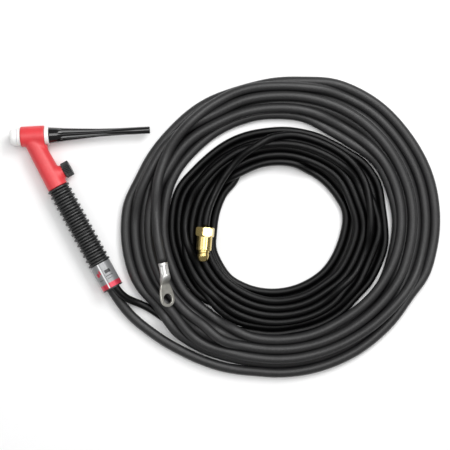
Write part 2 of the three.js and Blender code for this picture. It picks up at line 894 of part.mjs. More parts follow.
const lead = new THREE.Group();
add(lead, "power_cable_lead", powerCableLead(), "cable");
add(lead, "power_cable_coil", powerCableCoil(), "cable");
add(lead, "power_cable_tail", powerCableTail(), "cable");
add(lead, "gas_hose_lead", gasHoseLead(), "hose");
add(lead, "gas_hose_coil", coilRing(hoseCoil, 0), "hose");
add(lead, "gas_hose_tail", gasHoseTail(), "hose");

const lug = endGroup(cableTailRoute, lugDirection, lugRoll);
add(lug, "cable_lug", cableLug(), "tin");
add(lug, "lug_conductor", lugConductor(), "copper");
const fitting = endGroup(hoseTailRoute, fittingDirection, fittingTurn);
add(fitting, "gas_nut", gasNut(), "brass");
add(fitting, "gas_nipple", gasNipple(), "brass");
lead.add(lug, fitting);

// The origin is under the middle of the torch, which the lead isn't counted in.
const whole = new THREE.Group();
const middle = new THREE.Box3().setFromObject(torch, true).getCenter(new THREE.Vector3());
whole.position.set(-middle.x, -middle.y, 0);
whole.add(torch, lead);

export default whole;
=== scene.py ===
"""A TIG welding torch with its power cable and gas hose, piece by piece in the order they are assembled.

Lengths are millimetres in the torch's own frame (x across the handle, y from its rear end to the head,
z up from the floor) until place() or a piece's matrix turns them into the frame's metres.
"""
import json
import math

import bmesh
import bpy
import numpy as np
from mathutils import Matrix, Vector


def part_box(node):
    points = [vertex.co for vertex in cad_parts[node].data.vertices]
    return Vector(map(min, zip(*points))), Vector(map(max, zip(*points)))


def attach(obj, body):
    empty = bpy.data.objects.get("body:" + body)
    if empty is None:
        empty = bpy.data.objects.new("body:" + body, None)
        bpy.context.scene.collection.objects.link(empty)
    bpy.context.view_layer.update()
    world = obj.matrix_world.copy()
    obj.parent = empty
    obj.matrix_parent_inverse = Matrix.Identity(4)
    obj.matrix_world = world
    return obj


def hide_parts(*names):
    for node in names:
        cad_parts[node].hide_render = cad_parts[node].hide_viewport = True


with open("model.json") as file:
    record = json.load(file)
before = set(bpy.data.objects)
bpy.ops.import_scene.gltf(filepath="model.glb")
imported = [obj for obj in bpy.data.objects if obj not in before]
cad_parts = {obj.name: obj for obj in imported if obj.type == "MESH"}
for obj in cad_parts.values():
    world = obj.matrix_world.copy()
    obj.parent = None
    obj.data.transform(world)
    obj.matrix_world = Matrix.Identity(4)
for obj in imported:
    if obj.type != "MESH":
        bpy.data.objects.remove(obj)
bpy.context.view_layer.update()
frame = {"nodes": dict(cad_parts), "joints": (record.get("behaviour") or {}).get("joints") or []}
nodes = frame["nodes"]
joints = {joint["name"]: joint for joint in frame["joints"]}

# ---- Camera ----------------------------------------------------------------------------------
# It looks straight down from a copy stand, turned so that the handle leans to the left and the
# back cap is nearly level.
MM = 0.001
handle_low, handle_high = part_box("handle_grip")
HANDLE_X = (handle_low.x + handle_high.x) / 2
HANDLE_Y = handle_low.y
CAMERA_PLACE = (163.0, 2.1, 1815)
CAMERA_TURN = -28.7
SENSOR_WIDTH = 36
FOCAL_LENGTH = 113.4


def place(x, y, z):
    """A point of the torch's own frame in the shared frame."""
    return Vector((HANDLE_X + x * MM, HANDLE_Y + y * MM, z * MM))


def in_scene(name, data):
    """A new object for a mesh, a lamp or a camera, in the scene."""
    made = bpy.data.objects.new(name, data)
    bpy.context.scene.collection.objects.link(made)
    return made


camera = in_scene("camera", bpy.data.cameras.new("camera"))
camera.location = place(*CAMERA_PLACE)
camera.rotation_euler = (0, 0, math.radians(CAMERA_TURN))
camera.data.sensor_width = SENSOR_WIDTH
camera.data.lens = FOCAL_LENGTH
bpy.context.scene.camera = camera

# ---- Floor and light -------------------------------------------------------------------------
# A sheet of white paper in a bright room, with a large soft lamp overhead, one by the window, and
# two weaker ones that brighten the sides.
PAPER = (0.93, 0.93, 0.93)
PAPER_SIZE = 8.0
PAPER_BELOW = 0.0002
ROOM_LIGHT = 0.23
LAMP_AIM = (163, 0, 0)


def plain_material(name, color, roughness):
    """A material with a colour and a roughness, for what isn't part of the torch."""
    material = bpy.data.materials.new(name)
    material.use_nodes = True
    shader = material.node_tree.nodes["Principled BSDF"]
    shader.inputs["Base Color"].default_value = (*color, 1)
    shader.inputs["Roughness"].default_value = roughness
    return material


half = PAPER_SIZE / 2
paper_mesh = bpy.data.meshes.new("paper")
corners = [(-half, -half, 0), (half, -half, 0), (half, half, 0), (-half, half, 0)]
paper_mesh.from_pydata(corners, [], [(0, 1, 2, 3)])
paper_mesh.materials.append(plain_material("paper", PAPER, 0.9))
paper = in_scene("paper", paper_mesh)
paper.location = (0, 0, -PAPER_BELOW)


def soft_lamp(name, x, y, z, size, watts):
    """A square lamp at a point of the torch's frame that faces the middle of the lead."""
    lamp = in_scene(name, bpy.data.lights.new(name, "AREA"))
    lamp.data.size = size
    lamp.data.energy = watts
    lamp.location = place(x, y, z)
    lamp.rotation_euler = (place(*LAMP_AIM) - lamp.location).to_track_quat("-Z", "Y").to_euler()


soft_lamp("window_lamp", 1150, 520, 1250, 0.8, 17)
soft_lamp("fill_lamp", -900, 500, 1500, 1.0, 5)
soft_lamp("side_lamp", 1050, -600, 1500, 0.5, 5)
soft_lamp("top_lamp", 330, 330, 2300, 1.3, 23)
room = bpy.data.worlds.new("room")
bpy.context.scene.world = room
room.use_nodes = True
room.node_tree.nodes["Background"].inputs["Color"].default_value = (1, 1, 1, 1)
room.node_tree.nodes["Background"].inputs["Strength"].default_value = ROOM_LIGHT
bpy.context.scene.view_settings.view_transform = "Standard"

# ---- Lay of the power cable and the gas hose -------------------------------------------------
# Two separate leads of the same length, pulled out of the handle's rear end, wound into one
# coil inside the other and laid down. Both are round and heavy, so they rest on each other.
CABLE_RADIUS = 6.25
HOSE_RADIUS = 4.75
AXIS_HEIGHT = (handle_high.z - handle_low.z) / 2 / MM
IN_HANDLE = 24  # of each lead that is drawn with its free length
CABLE_END = 80
HOSE_END = 131
CABLE_MOUTH = (-3.15, 0, AXIS_HEIGHT - 3.75)
HOSE_MOUTH = (4.11, 0, AXIS_HEIGHT + 4.9)
CABLE_STEP = 6.5
HOSE_STEP = 5.0
cable_lead_route = [
    (-2, -12, 9.8), (-1, -25, 8), (2, -40, 6.7), (7, -55, 6.25), (15, -73, 6.25), (24, -91, 6.25),
    (34, -107, 6.25), (45, -123, 6.25), (57, -138, 6.25), (71, -153, 6.25), (88, -167, 6.25),
    (107, -180, 6.25), (126, -190, 6.25), (147, -199, 6.25),
]
hose_lead_route = [
    (4.4, -6, 19), (6, -13, 17), (9, -20, 13.5), (14, -27, 9), (19, -33, 6), (24, -40, 4.9),
    (29, -48, 4.75), (34, -58, 4.75), (40, -70, 4.75), (48, -83, 4.75), (61, -97, 4.75),
    (78, -108, 4.75), (97, -117, 4.75), (117, -124, 4.75), (135, -130, 4.75),
]
cable_tail_route = [
    (304, 128, 19), (289, 134.5, 24.5), (272, 140, 29), (253, 143.5, 30.6), (234, 144, 30.6),
    (214, 142.5, 30.6), (195, 139, 30.6), (177, 134, 30.6), (161, 127.5, 30.6), (146, 119, 30.6),
    (133, 109, 30.6), (121, 98, 30.6), (111, 85.5, 30.6), (102, 72, 30.6), (94, 57, 31),
    (86, 41.5, 32.5), (80, 26, 34.5), (76, 11.5, 35.6), (71.8, -1.7, 35.8),
]
hose_tail_route = [
    (273, 64, 23), (256, 69, 24.5), (239, 70.5, 25.1), (222, 68, 25.2), (205, 62.5, 25.2),
    (189, 55, 25.5), (174.5, 46, 26.8), (162.5, 37, 28.8), (153, 28.5, 31), (145.6, 19.8, 32.4),
    (140.2, 11.6, 32.6),
]
OVAL_TURN = math.radians(CAMERA_TURN)  # of the direction that the coils' angles count from
RUN_IN = 0.04  # of a coil's whole length, over which it runs into its lead and its tail
# Each coil's centre, its innermost and outermost turn's radius, how far out of round each of the two
# is (waves round the coil, height, direction of the first crest), and where the cable's coil climbs
# over the hose that crosses below (direction, spread, height, turn per millimetre inwards).
cable_oval = {
    "x": 223, "y": -31, "inner": 144.5, "outer": 186.5,
    "inner_waves": [(1, 1.5, 198), (2, 2.4, 1), (3, 1.0, 27)],
    "outer_waves": [(1, 0.9, 29), (2, 6.6, 16), (3, 1.3, 63)],
    "climb": (221, 9, 9, 0.64),
}
hose_oval = {
    "x": 223, "y": -31, "inner": 86, "outer": 127,
    "inner_waves": [(1, 2.5, 247), (2, 3.4, 57), (3, 1.5, 21)],
    "outer_waves": [(1, 6.0, 265), (2, 6.5, 3)],
}
# How far round, how wide and how high each winding is, from its first turn to its last.
cable_winding = [(0.06, 186.5, 6.25), (0.57, 144.5, 6.25), (0.61, 151, 17.5), (0.93, 177, 18)]
hose_winding = [
    (0.03, 127, 4.75), (0.39, 86, 4.75), (0.43, 92.5, 13.2), (0.76, 118, 13.2), (0.8, 113, 21.5),
]
lay_random = np.random.default_rng(7)


def walked_along(line):
    """How far along a line each of its points is."""
    return np.concatenate([[0], np.cumsum(np.linalg.norm(np.diff(line, axis=0), axis=1))])


def spaced(line, step):
    """A line of points as evenly spaced ones, about a step apart."""
    walked = walked_along(line)
    marks = np.linspace(0, walked[-1], max(2, round(walked[-1] / step) + 1))
    return np.stack([np.interp(marks, walked, line[:, k]) for k in range(3)], 1)


def smooth_through(points, step):
    """A smooth line through given points."""
    points = np.array(points, float)
    for _ in range(4):  # each pass halves the spacing by the four-point rule
        ends = np.vstack([2 * points[0] - points[1], points, 2 * points[-1] - points[-2]])
        middles = (9 * (ends[1:-2] + ends[2:-1]) - ends[:-3] - ends[3:]) / 16
        line = np.empty((2 * len(points) - 1, 3))
        line[::2] = points
        line[1::2] = middles
        points = line
    return spaced(points, step)


def out_of_round(oval, angle, radius):
    """How far a coil's turns stand out of round there, and how far out in the coil they are."""
    outer = np.clip((radius - oval["inner"]) / (oval["outer"] - oval["inner"]), 0, 1)
    inner_wave, outer_wave = (
        sum(height * np.cos(count * (angle - math.radians(crest))) for count, height, crest in oval[key])
        for key in ("inner_waves", "outer_waves")
    )
    return (1 - outer) * inner_wave + outer * outer_wave


def on_oval(point, oval):
    """A point's angle and its turn's radius in a coil."""
    x, y = point[0] - oval["x"], point[1] - oval["y"]
    angle, radius = math.atan2(y, x) - OVAL_TURN, math.hypot(x, y)
    return angle, radius - out_of_round(oval, angle, radius)


def wound(oval, start, end, turns, winding, sway, step):
    """The turns of a coil: a spiral from start to end that sways in and out a little."""
    first, last = on_oval(start, oval), on_oval(end, oval)
    whole = (last[0] - first[0]) % (2 * math.pi) + 2 * math.pi * turns
    share = np.linspace(0, 1, int(whole * 160 / step))
    knots = [(0, first[1], start[2]), *winding, (1, last[1], end[2])]
    radius, height = (np.interp(share, [k[0] for k in knots], [k[i] for k in knots]) for i in (1, 2))
    laps = share * whole / (2 * math.pi)
    for pace in (0.23, 0.41, 0.67, 1.07):
        radius += sway / (1 + pace) * np.sin(2 * math.pi * (pace * laps + lay_random.random()))
    angle = first[0] + share * whole
    if "climb" in oval:
        middle, spread, climb, lean = oval["climb"]
        away = angle - np.radians(middle + lean * (oval["outer"] - radius))
        away = (away + math.pi) % (2 * math.pi) - math.pi
        height += climb * np.exp(-(away / math.radians(spread)) ** 2)
    radius += out_of_round(oval, angle, radius)
    x = oval["x"] + radius * np.cos(angle + OVAL_TURN)
    y = oval["y"] + radius * np.sin(angle + OVAL_TURN)
    line = np.stack([x, y, height], 1)
    line += np.clip(1 - share / RUN_IN, 0, 1)[:, None] ** 2 * (np.array(start) - line[0])
    line += np.clip(1 - (1 - share) / RUN_IN, 0, 1)[:, None] ** 2 * (np.array(end) - line[-1])
    return line


def lead_line(mouth, lead, oval, turns, winding, sway, tail, step):
    """A whole lead as one line, with how many points at each end are its lead and its tail."""
    inside = [(mouth[0], IN_HANDLE, mouth[2]), (mouth[0], IN_HANDLE / 2, mouth[2]), mouth]
    start, end = smooth_through(inside + lead, step), smooth_through(tail, step)
    coil = wound(oval, lead[-1], tail[0], turns, winding, sway, step)
    line = spaced(np.vstack([start, coil[1:-1], end]), step)
    return line, len(start), len(end)


def bead_row(start, direction, low, high, radius):
    """Balls along a stiff piece that the leads lie against."""
    return [(*(np.array(start) + np.array(direction) * s), radius) for s in np.arange(low, high, 3)]


def close_pairs(points, radius, cord, step):
    """Which points of the leads may touch, leaving out each point's own neighbours along its lead."""
    square = (points ** 2).sum(1)
    apart = square[:, None] + square[None, :] - 2 * points @ points.T
    near = apart < (radius[:, None] + radius[None, :] + 2.5) ** 2
    first, second = np.nonzero(np.triu(near, 1))
    along = np.abs(first - second) * step[first]
    kept = (cord[first] != cord[second]) | (along > 8 * radius[first])
    return first[kept], second[kept]


def settle(lines, radii, held, guided, beads, rounds):
    """Lets the leads sink onto the floor and each other, keeping their length and their stiffness."""
    points = np.vstack(lines)
    home = points.copy()
    cord = np.repeat([0, 1], [len(line) for line in lines])
    radius = np.array(radii)[cord]
    gaps = np.array([np.linalg.norm(np.diff(line, axis=0), axis=1).mean() for line in lines])
    step = gaps[cord]
    free = (~held).astype(float)[:, None]
    chains = [slice(0, len(lines[0])), slice(len(lines[0]), None)]
    for turn in range(rounds):
        points[:, 2] -= (0.35 if turn < rounds * 0.75 else 0.12) * free[:, 0]
        points[:, :2] += 0.04 * (home[:, :2] - points[:, :2]) * free
        for chain in chains:
            for _ in range(3):  # a bend spreads out along a stiff lead
                bend = np.zeros_like(points[chain])
                bend[1:-1] = points[chain][:-2] + points[chain][2:] - 2 * points[chain][1:-1]
                bend[2:-2] = 2 * bend[2:-2] - bend[1:-3] - bend[3:-1]
                bend[[0, 1, -2, -1]] = 0
                points[chain] += 0.12 * bend * free[chain]
        if turn % 6 == 0:
            first, second = close_pairs(points, radius, cord, step)
        for _ in range(3):
            between = points[first] - points[second]
            length = np.linalg.norm(between, axis=1) + 1e-9
            inside = radius[first] + radius[second] - length
            hit = inside > 0
            a, b = first[hit], second[hit]
            push = between[hit] * (inside[hit] / length[hit] / (free[a, 0] + free[b, 0] + 1e-9))[:, None]
            moved, count = np.zeros_like(points), np.zeros(len(points))
            np.add.at(moved, a, push * free[a])
            np.add.at(moved, b, -push * free[b])
            np.add.at(count, np.concatenate([a, b]), 1)
            points += 1.4 * moved / np.maximum(count, 1)[:, None]
            for x, y, z, size in beads:
                away = points - (x, y, z)
                length = np.linalg.norm(away, axis=1) + 1e-9
                hit = (length < radius + size) & ~held
                points[hit] += away[hit] * ((radius[hit] + size) / length[hit] - 1)[:, None]
            points[:, 2] = np.maximum(points[:, 2], np.where(held, points[:, 2], radius))
            for chain, gap in zip(chains, gaps):
                part = points[chain]
                between = part[1:] - part[:-1]
                length = np.linalg.norm(between, axis=1)[:, None] + 1e-9
                pull = between * (1 - gap / length) / 2
                part[:-1] += pull * free[chain][:-1]
                part[1:] -= pull * free[chain][1:]
        points[guided, :2] = home[guided, :2]
    return [points[chain] for chain in chains]


cable_line, cable_start, cable_tail = lead_line(
    CABLE_MOUTH, cable_lead_route, cable_oval, 6, cable_winding, 1.6, cable_tail_route, CABLE_STEP
)
hose_line, hose_start, hose_tail = lead_line(
    HOSE_MOUTH, hose_lead_route, hose_oval, 10, hose_winding, 1.2, hose_tail_route, HOSE_STEP
)
total = len(cable_line) + len(hose_line)
held = np.zeros(total, bool)
guided = np.zeros(total, bool)
END_POINTS = 6  # at each end of a lead, held by what they are fixed to
for low, high, start, tail in (
    (0, len(cable_line), cable_start, cable_tail),
    (len(cable_line), total, hose_start, hose_tail),
):
    held[low:low + start - END_POINTS] = True
    held[high - END_POINTS:high] = True
    guided[high - tail + END_POINTS:high] = True
LUG_DIRECTION = (-0.307, -0.951, 0)
FITTING_DIRECTION = (-0.55, -0.835, 0)
beads = [
    *bead_row(hose_tail_route[-1], FITTING_DIRECTION, 0, 12, 12.1),
    *bead_row(hose_tail_route[-1], FITTING_DIRECTION, 14, 30, 9.7),
    *bead_row(hose_tail_route[-1], FITTING_DIRECTION, 31, 42, 7.4),
    *bead_row(cable_tail_route[-1], LUG_DIRECTION, 0, 24, 6.3),
]
cable_line, hose_line = settle(
    [cable_line, hose_line], [CABLE_RADIUS, HOSE_RADIUS], held, guided, beads, 170
)

# ---- Power cable and gas hose ----------------------------------------------------------------
# The cable is a fine-stranded copper core in a satin rubber jacket. The hose is black rubber with
# the imprint of the cloth it was cured in. Each is one length from the handle to its end fitting.


def effect(name, inputs, outputs):
    """An empty shader group with its sockets, and its input and output nodes."""
    group = bpy.data.node_groups.new(name, "ShaderNodeTree")
    for socket, kind, value in inputs:
        made = group.interface.new_socket(socket, in_out="INPUT", socket_type="NodeSocket" + kind)
        if value is not None:
            made.default_value = value
    for socket, kind in outputs:
        group.interface.new_socket(socket, in_out="OUTPUT", socket_type="NodeSocket" + kind)
    return group, group.nodes.new("NodeGroupInput"), group.nodes.new("NodeGroupOutput")


def feed(tree, socket, value):
    """Sets an input to a number or a colour, or links another node's output to it."""
    if isinstance(value, bpy.types.NodeSocket):
        tree.links.new(value, socket)
    else:
        socket.default_value = (*value, 1) if isinstance(value, tuple) else value


def math_node(tree, operation, *values, clamp=False):
    """A Math node whose inputs are numbers or sockets."""
    node = tree.nodes.new("ShaderNodeMath")
    node.operation = operation
    node.use_clamp = clamp
    for socket, value in zip(node.inputs, values):
        feed(tree, socket, value)
    return node.outputs[0]


def mix_color(tree, factor, first, second, blend="MIX"):
    """A colour between two, each a socket or a colour."""
    node = tree.nodes.new("ShaderNodeMix")
    node.data_type = "RGBA"
    node.blend_type = blend
    sockets = {s.identifier: s for s in node.inputs}
    for key, value in (("Factor_Float", factor), ("A_Color", first), ("B_Color", second)):
        feed(tree, sockets[key], value)
    return next(s for s in node.outputs if s.identifier == "Result_Color")


def noise(tree, scale, detail=3.0, stretch=(1, 1, 1)):
    """A noise value in the piece's own space; scale is a number or a socket, per metre."""
    coordinates = tree.nodes.new("ShaderNodeTexCoord")
    mapping = tree.nodes.new("ShaderNodeMapping")
    mapping.inputs["Scale"].default_value = stretch
    tree.links.new(coordinates.outputs["Object"], mapping.inputs["Vector"])
    texture = tree.nodes.new("ShaderNodeTexNoise")
    texture.inputs["Detail"].default_value = detail
    tree.links.new(mapping.outputs["Vector"], texture.inputs["Vector"])
    feed(tree, texture.inputs["Scale"], scale)
    return texture.outputs["Fac"]


def spread_out(tree, value, low, high, to_low, to_high):
    """A value stretched from one range to another and kept inside it."""
    node = tree.nodes.new("ShaderNodeMapRange")
    for socket, number in zip(node.inputs, (value, low, high, to_low, to_high)):
        feed(tree, socket, number)
    return node.outputs[0]


handling, given, out = effect(
    "handling",
    [("Color", "Color", (0.5, 0.5, 0.5, 1)), ("Shade", "Float", 0.2), ("Scale", "Float", 60.0),
     ("Roughness", "Float", 0.5), ("Spread", "Float", 0.1)],
    [("Color", "Color"), ("Roughness", "Float")],
)
patches = noise(handling, given.outputs["Scale"], 4)
shade = spread_out(handling, patches, 0.35, 0.65, 0.0, 1.0)
shade = math_node(handling, "MULTIPLY", shade, given.outputs["Shade"])
darker = math_node(handling, "SUBTRACT", 1.0, shade)
grey = handling.nodes.new("ShaderNodeCombineColor")
for channel in grey.inputs[:3]:
    handling.links.new(darker, channel)
shaded = mix_color(handling, 1.0, given.outputs["Color"], grey.outputs[0], "MULTIPLY")
handling.links.new(shaded, out.inputs["Color"])
streaks = noise(handling, math_node(handling, "MULTIPLY", given.outputs["Scale"], 4.3), 2)
uneven = math_node(handling, "SUBTRACT", streaks, 0.5)
uneven = math_node(handling, "MULTIPLY", uneven, given.outputs["Spread"])
uneven = math_node(handling, "MULTIPLY", uneven, 2.0)
rough = math_node(handling, "ADD", given.outputs["Roughness"], uneven, clamp=True)
handling.links.new(rough, out.inputs["Roughness"])

grain, given, out = effect(
    "grain", [("Scale", "Float", 2000.0), ("Depth", "Float", 0.00003)], [("Normal", "Vector")]
)
pits = noise(grain, given.outputs["Scale"], 2)
bump = grain.nodes.new("ShaderNodeBump")
bump.inputs["Strength"].default_value = 1.0
grain.links.new(given.outputs["Depth"], bump.inputs["Distance"])
grain.links.new(pits, bump.inputs["Height"])
grain.links.new(bump.outputs["Normal"], out.inputs["Normal"])

DUST = (0.55, 0.54, 0.52)
dust, given, out = effect(
    "dust",
    [("Color", "Color", (0.5, 0.5, 0.5, 1)), ("Roughness", "Float", 0.5), ("Amount", "Float", 0.1)],
    [("Color", "Color"), ("Roughness", "Float")],
)
facing = dust.nodes.new("ShaderNodeNewGeometry")
split = dust.nodes.new("ShaderNodeSeparateXYZ")
dust.links.new(facing.outputs["Normal"], split.inputs[0])
upward = spread_out(dust, split.outputs["Z"], 0.2, 1.0, 0.0, 1.0)
specks = spread_out(dust, noise(dust, 900.0, 5), 0.42, 0.7, 0.25, 1.0)
film = math_node(dust, "MULTIPLY", upward, specks)
film = math_node(dust, "MULTIPLY", film, given.outputs["Amount"])
dust.links.new(mix_color(dust, film, given.outputs["Color"], DUST), out.inputs["Color"])
duller = math_node(dust, "MULTIPLY", film, 0.5)
duller = math_node(dust, "ADD", given.outputs["Roughness"], duller, clamp=True)
dust.links.new(duller, out.inputs["Roughness"])

rubbed, given, out = effect(
    "rubbed_edges",
    [("Color", "Color", (0.5, 0.5, 0.5, 1)), ("Bare", "Color", (0.8, 0.8, 0.8, 1)),
     ("Amount", "Float", 0.5)],
    [("Color", "Color")],
)
edges = rubbed.nodes.new("ShaderNodeNewGeometry")
sharp = spread_out(rubbed, edges.outputs["Pointiness"], 0.51, 0.6, 0.0, 1.0)
patchy = spread_out(rubbed, noise(rubbed, 400.0, 4), 0.4, 0.6, 0.2, 1.0)
worn = math_node(rubbed, "MULTIPLY", sharp, patchy)
mask = math_node(rubbed, "MULTIPLY", worn, given.outputs["Amount"], clamp=True)
bared = mix_color(rubbed, mask, given.outputs["Color"], given.outputs["Bare"])
rubbed.links.new(bared, out.inputs["Color"])


def place_effect(tree, group, **values):
    """A shader group in a material, with its inputs set to numbers, colours or sockets."""
    node = tree.nodes.new("ShaderNodeGroup")
    node.node_tree = group
    for name, value in values.items():
        feed(tree, node.inputs[name], value)
    return node


def finish(
    name, color, roughness, shade, patch, spread, grain_scale, grain_depth, dusty, bare=None, **sockets
):
    """A material for one finish.

    color is a colour, or a function that makes a colour socket. shade darkens patches of it, patch of
    them to the metre, and spread makes the roughness uneven. bare is a colour and an amount for worn
    edges. Any other input of the shader is given by its name.
    """
    material = bpy.data.materials.new(name)
    material.use_nodes = True
    tree = material.node_tree
    shader = tree.nodes["Principled BSDF"]
    for socket, value in sockets.items():
        shader.inputs[socket.replace("_", " ").title().replace("Ior", "IOR")].default_value = value
    base = color(tree) if callable(color) else color
    if bare:
        base = place_effect(tree, rubbed, Color=base, Bare=bare[0], Amount=bare[1]).outputs["Color"]
    used = place_effect(
        tree, handling, Color=base, Shade=shade, Scale=patch, Roughness=roughness, Spread=spread
    )
    over = place_effect(
        tree, dust, Color=used.outputs["Color"], Roughness=used.outputs["Roughness"], Amount=dusty
    )
    tree.links.new(over.outputs["Color"], shader.inputs["Base Color"])
    tree.links.new(over.outputs["Roughness"], shader.inputs["Roughness"])
    fine = place_effect(tree, grain, Scale=grain_scale, Depth=grain_depth)
    tree.links.new(fine.outputs["Normal"], shader.inputs["Normal"])
    return material


def mesh_piece(name, vertices, faces, material, uv=None):
    """A smooth-shaded mesh piece; uv is one pair of numbers for each corner of each face."""
    mesh = bpy.data.meshes.new(name)
    mesh.from_pydata([tuple(v) for v in vertices], [], faces)
    mesh.materials.append(material)
    if uv is not None:
        layer = mesh.uv_layers.new(name="round_and_along")
        layer.data.foreach_set("uv", np.asarray(uv, np.float32).ravel())
    mesh.shade_smooth()
    return in_scene(name, mesh)


def tube(name, line, radius, sides, material):
    """A round tube with closed ends along a line in the torch's frame.

    Its map counts turns round it, and the lengths of a turn along it.
    """
    line = np.asarray(line)
    tangents = np.gradient(line, axis=0)
    tangents /= np.linalg.norm(tangents, axis=1)[:, None]
    up = np.array([0.0, 0.0, 1.0])
    side = np.cross(tangents, up)
    side /= np.linalg.norm(side, axis=1)[:, None]
    top = np.cross(side, tangents)
    turn = np.linspace(0, 2 * math.pi, sides, endpoint=False)[None, :, None]
    ring = np.cos(turn) * side[:, None, :] + np.sin(turn) * top[:, None, :]
    points = (line[:, None, :] + radius * ring).reshape(-1, 3)
    vertices = points * MM + np.array(place(0, 0, 0))
    along = walked_along(line) / (2 * math.pi * radius)
    faces, uv = [], []
    for i in range(len(line) - 1):
        for k in range(sides):
            a, b = i * sides + k, i * sides + (k + 1) % sides
            faces.append((a, b, b + sides, a + sides))
            left, right = k / sides, (k + 1) / sides
            uv += [(left, along[i]), (right, along[i]), (right, along[i + 1]), (left, along[i + 1])]
    last = (len(line) - 1) * sides
    faces.append(tuple(range(sides - 1, -1, -1)))
    faces.append(tuple(range(last, last + sides)))
    uv += [(0, 0)] * (2 * sides)
    return mesh_piece(name, vertices, faces, material, uv)


def map_value(tree, axis):
    """One coordinate of a piece's own map: 0 goes round it, 1 along it."""
    coordinates = tree.nodes.new("ShaderNodeUVMap")
    split = tree.nodes.new("ShaderNodeSeparateXYZ")
    tree.links.new(coordinates.outputs["UV"], split.inputs[0])
    return split.outputs[axis]


cable_rubber = finish(
    "cable_rubber", (0.014, 0.014, 0.015), roughness=0.42, shade=0.25, patch=45.0, spread=0.08,
    grain_scale=1800.0, grain_depth=0.00004, dusty=0.05, specular_ior_level=0.38,
)
hose_rubber = finish(
    "hose_rubber", (0.0009, 0.0009, 0.0011), roughness=0.32, shade=0.3, patch=60.0, spread=0.08,
    grain_scale=2500.0, grain_depth=0.00002, dusty=0.004, specular_ior_level=0.21,
)
WEAVE_ROUND = 14  # cords of the cloth's imprint round the hose
WEAVE_DEPTH = 0.00005


def add_weave(material, count, depth):
    """A diagonal two-way imprint under a material's grain, from its map."""
    tree = material.node_tree
    shader = tree.nodes["Principled BSDF"]
    round_it, along_it = map_value(tree, 0), map_value(tree, 1)
    height = None
    for way in (1.0, -1.0):
        slant = math_node(tree, "ADD", round_it, math_node(tree, "MULTIPLY", along_it, way))
        wave = math_node(tree, "SINE", math_node(tree, "MULTIPLY", slant, 2 * math.pi * count))
        height = wave if height is None else math_node(tree, "MAXIMUM", height, wave)
    bump = tree.nodes.new("ShaderNodeBump")
    bump.inputs["Distance"].default_value = depth
    tree.links.new(height, bump.inputs["Height"])
    tree.links.new(shader.inputs["Normal"].links[0].from_socket, bump.inputs["Normal"])
    tree.links.new(bump.outputs["Normal"], shader.inputs["Normal"])


add_weave(hose_rubber, WEAVE_ROUND, WEAVE_DEPTH)


def eased(line, passes):
    """A line with the last unevenness of its points taken out, its ends kept."""
    for _ in range(passes):
        line[1:-1] += 0.25 * (line[:-2] + line[2:] - 2 * line[1:-1])
    return line


def lead_piece(name, line, radius, sides, material, replaced):
    """A lead as a smooth tube on the torch, and the fine line that it follows in metres."""
    path = smooth_through(eased(line, 2), radius * 0.9)
    piece = tube(name, path, radius, sides, material)
    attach(piece, "torch")
    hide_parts(*replaced)
    return piece, [tuple(place(*point)) for point in path]


power_cable, cable_path = lead_piece(
    "power_cable", cable_line, CABLE_RADIUS, 20, cable_rubber,
    ("power_cable_lead", "power_cable_coil", "power_cable_tail"),
)
gas_hose, hose_path = lead_piece(
    "gas_hose", hose_line, HOSE_RADIUS, 18, hose_rubber,
    ("gas_hose_lead", "gas_hose_coil", "gas_hose_tail"),
)
for name, mouth, end, radius, material, slot in (
    ("power_cable_in_handle", CABLE_MOUTH, CABLE_END, CABLE_RADIUS, cable_rubber, "cable_rubber"),
    ("gas_hose_in_handle", HOSE_MOUTH, HOSE_END, HOSE_RADIUS, hose_rubber, "hose_rubber"),
):
    straight = [(mouth[0], y, mouth[2]) for y in np.linspace(end, IN_HANDLE + 0.2, 12)]
    hidden = tube(name, straight, radius, 20, material)
    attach(hidden, "torch")

# ---- Handle and label ------------------------------------------------------------------------
# A moulded black tube with raised rings to grip, with a finer ring and a fine knurl between each
# two. A foil sleeve with print on it is wrapped round its smooth rear end, against a thin rim; a
# white line painted along its top stands for a highlight.
GRIP_LENGTH = 146
GRIP_BORE = 11.45
TAIL_LENGTH = 35.5
TAIL_RADIUS = 12.7
RIM_RADIUS = 13.4
RIM_LENGTH = 1.5
RING_COUNT = 15
RING_BASE = 3.6
VALLEY_RADIUS = 11.7
RIDGE_RADIUS = 14.75
FINE_RING_RADIUS = 12.9
RING_SPREAD = 0.7  # of each ring's foot past its nominal place on both sides
FINE_RING_WIDTH = 1.2
KNURLS = 64
KNURL_DEPTH = 0.22
FOIL = 0.4
# A highlight is painted along the sleeve as a white line; this is where it runs.
HIGHLIGHT_LINE_TURN = 0.22  # of the way round the sleeve from +X over the top


def axis_matrix(origin, along, up=Vector((0, 0, 1))):
    """Puts a piece that is made along z, in millimetres, along an axis of the shared frame."""
    z = Vector(along).normalized()
    x = up.cross(z).normalized()
    turn = Matrix((x, z.cross(x), z)).transposed()
    return Matrix.Translation(origin) @ turn.to_4x4() @ Matrix.Scale(MM, 4)


def rounded(outline, longest=1.5):
    """(radius, along, fillet) corners as a line with each corner rounded and no step over longest."""
    corners = [np.array(corner[:2], float) for corner in outline]
    line = []
    for i, (corner, given) in enumerate(zip(corners, outline)):
        fillet = given[2] if len(given) > 2 else 0
        if fillet and 0 < i < len(corners) - 1:
            back, on = corners[i - 1] - corner, corners[i + 1] - corner
            back_length, on_length = np.linalg.norm(back), np.linalg.norm(on)
            cut = min(fillet, 0.49 * back_length, 0.49 * on_length)
            a, b = corner + back / back_length * cut, corner + on / on_length * cut
            for t in np.linspace(0, 1, 6):
                line.append((1 - t) ** 2 * a + 2 * t * (1 - t) * corner + t * t * b)
        else:
            line.append(corner)
    fine = [line[0]]
    for a, b in zip(line, line[1:]):
        parts = max(1, math.ceil(np.linalg.norm(b - a) / longest))
        fine += [a + (b - a) * (k + 1) / parts for k in range(parts)]
    return np.array(fine)


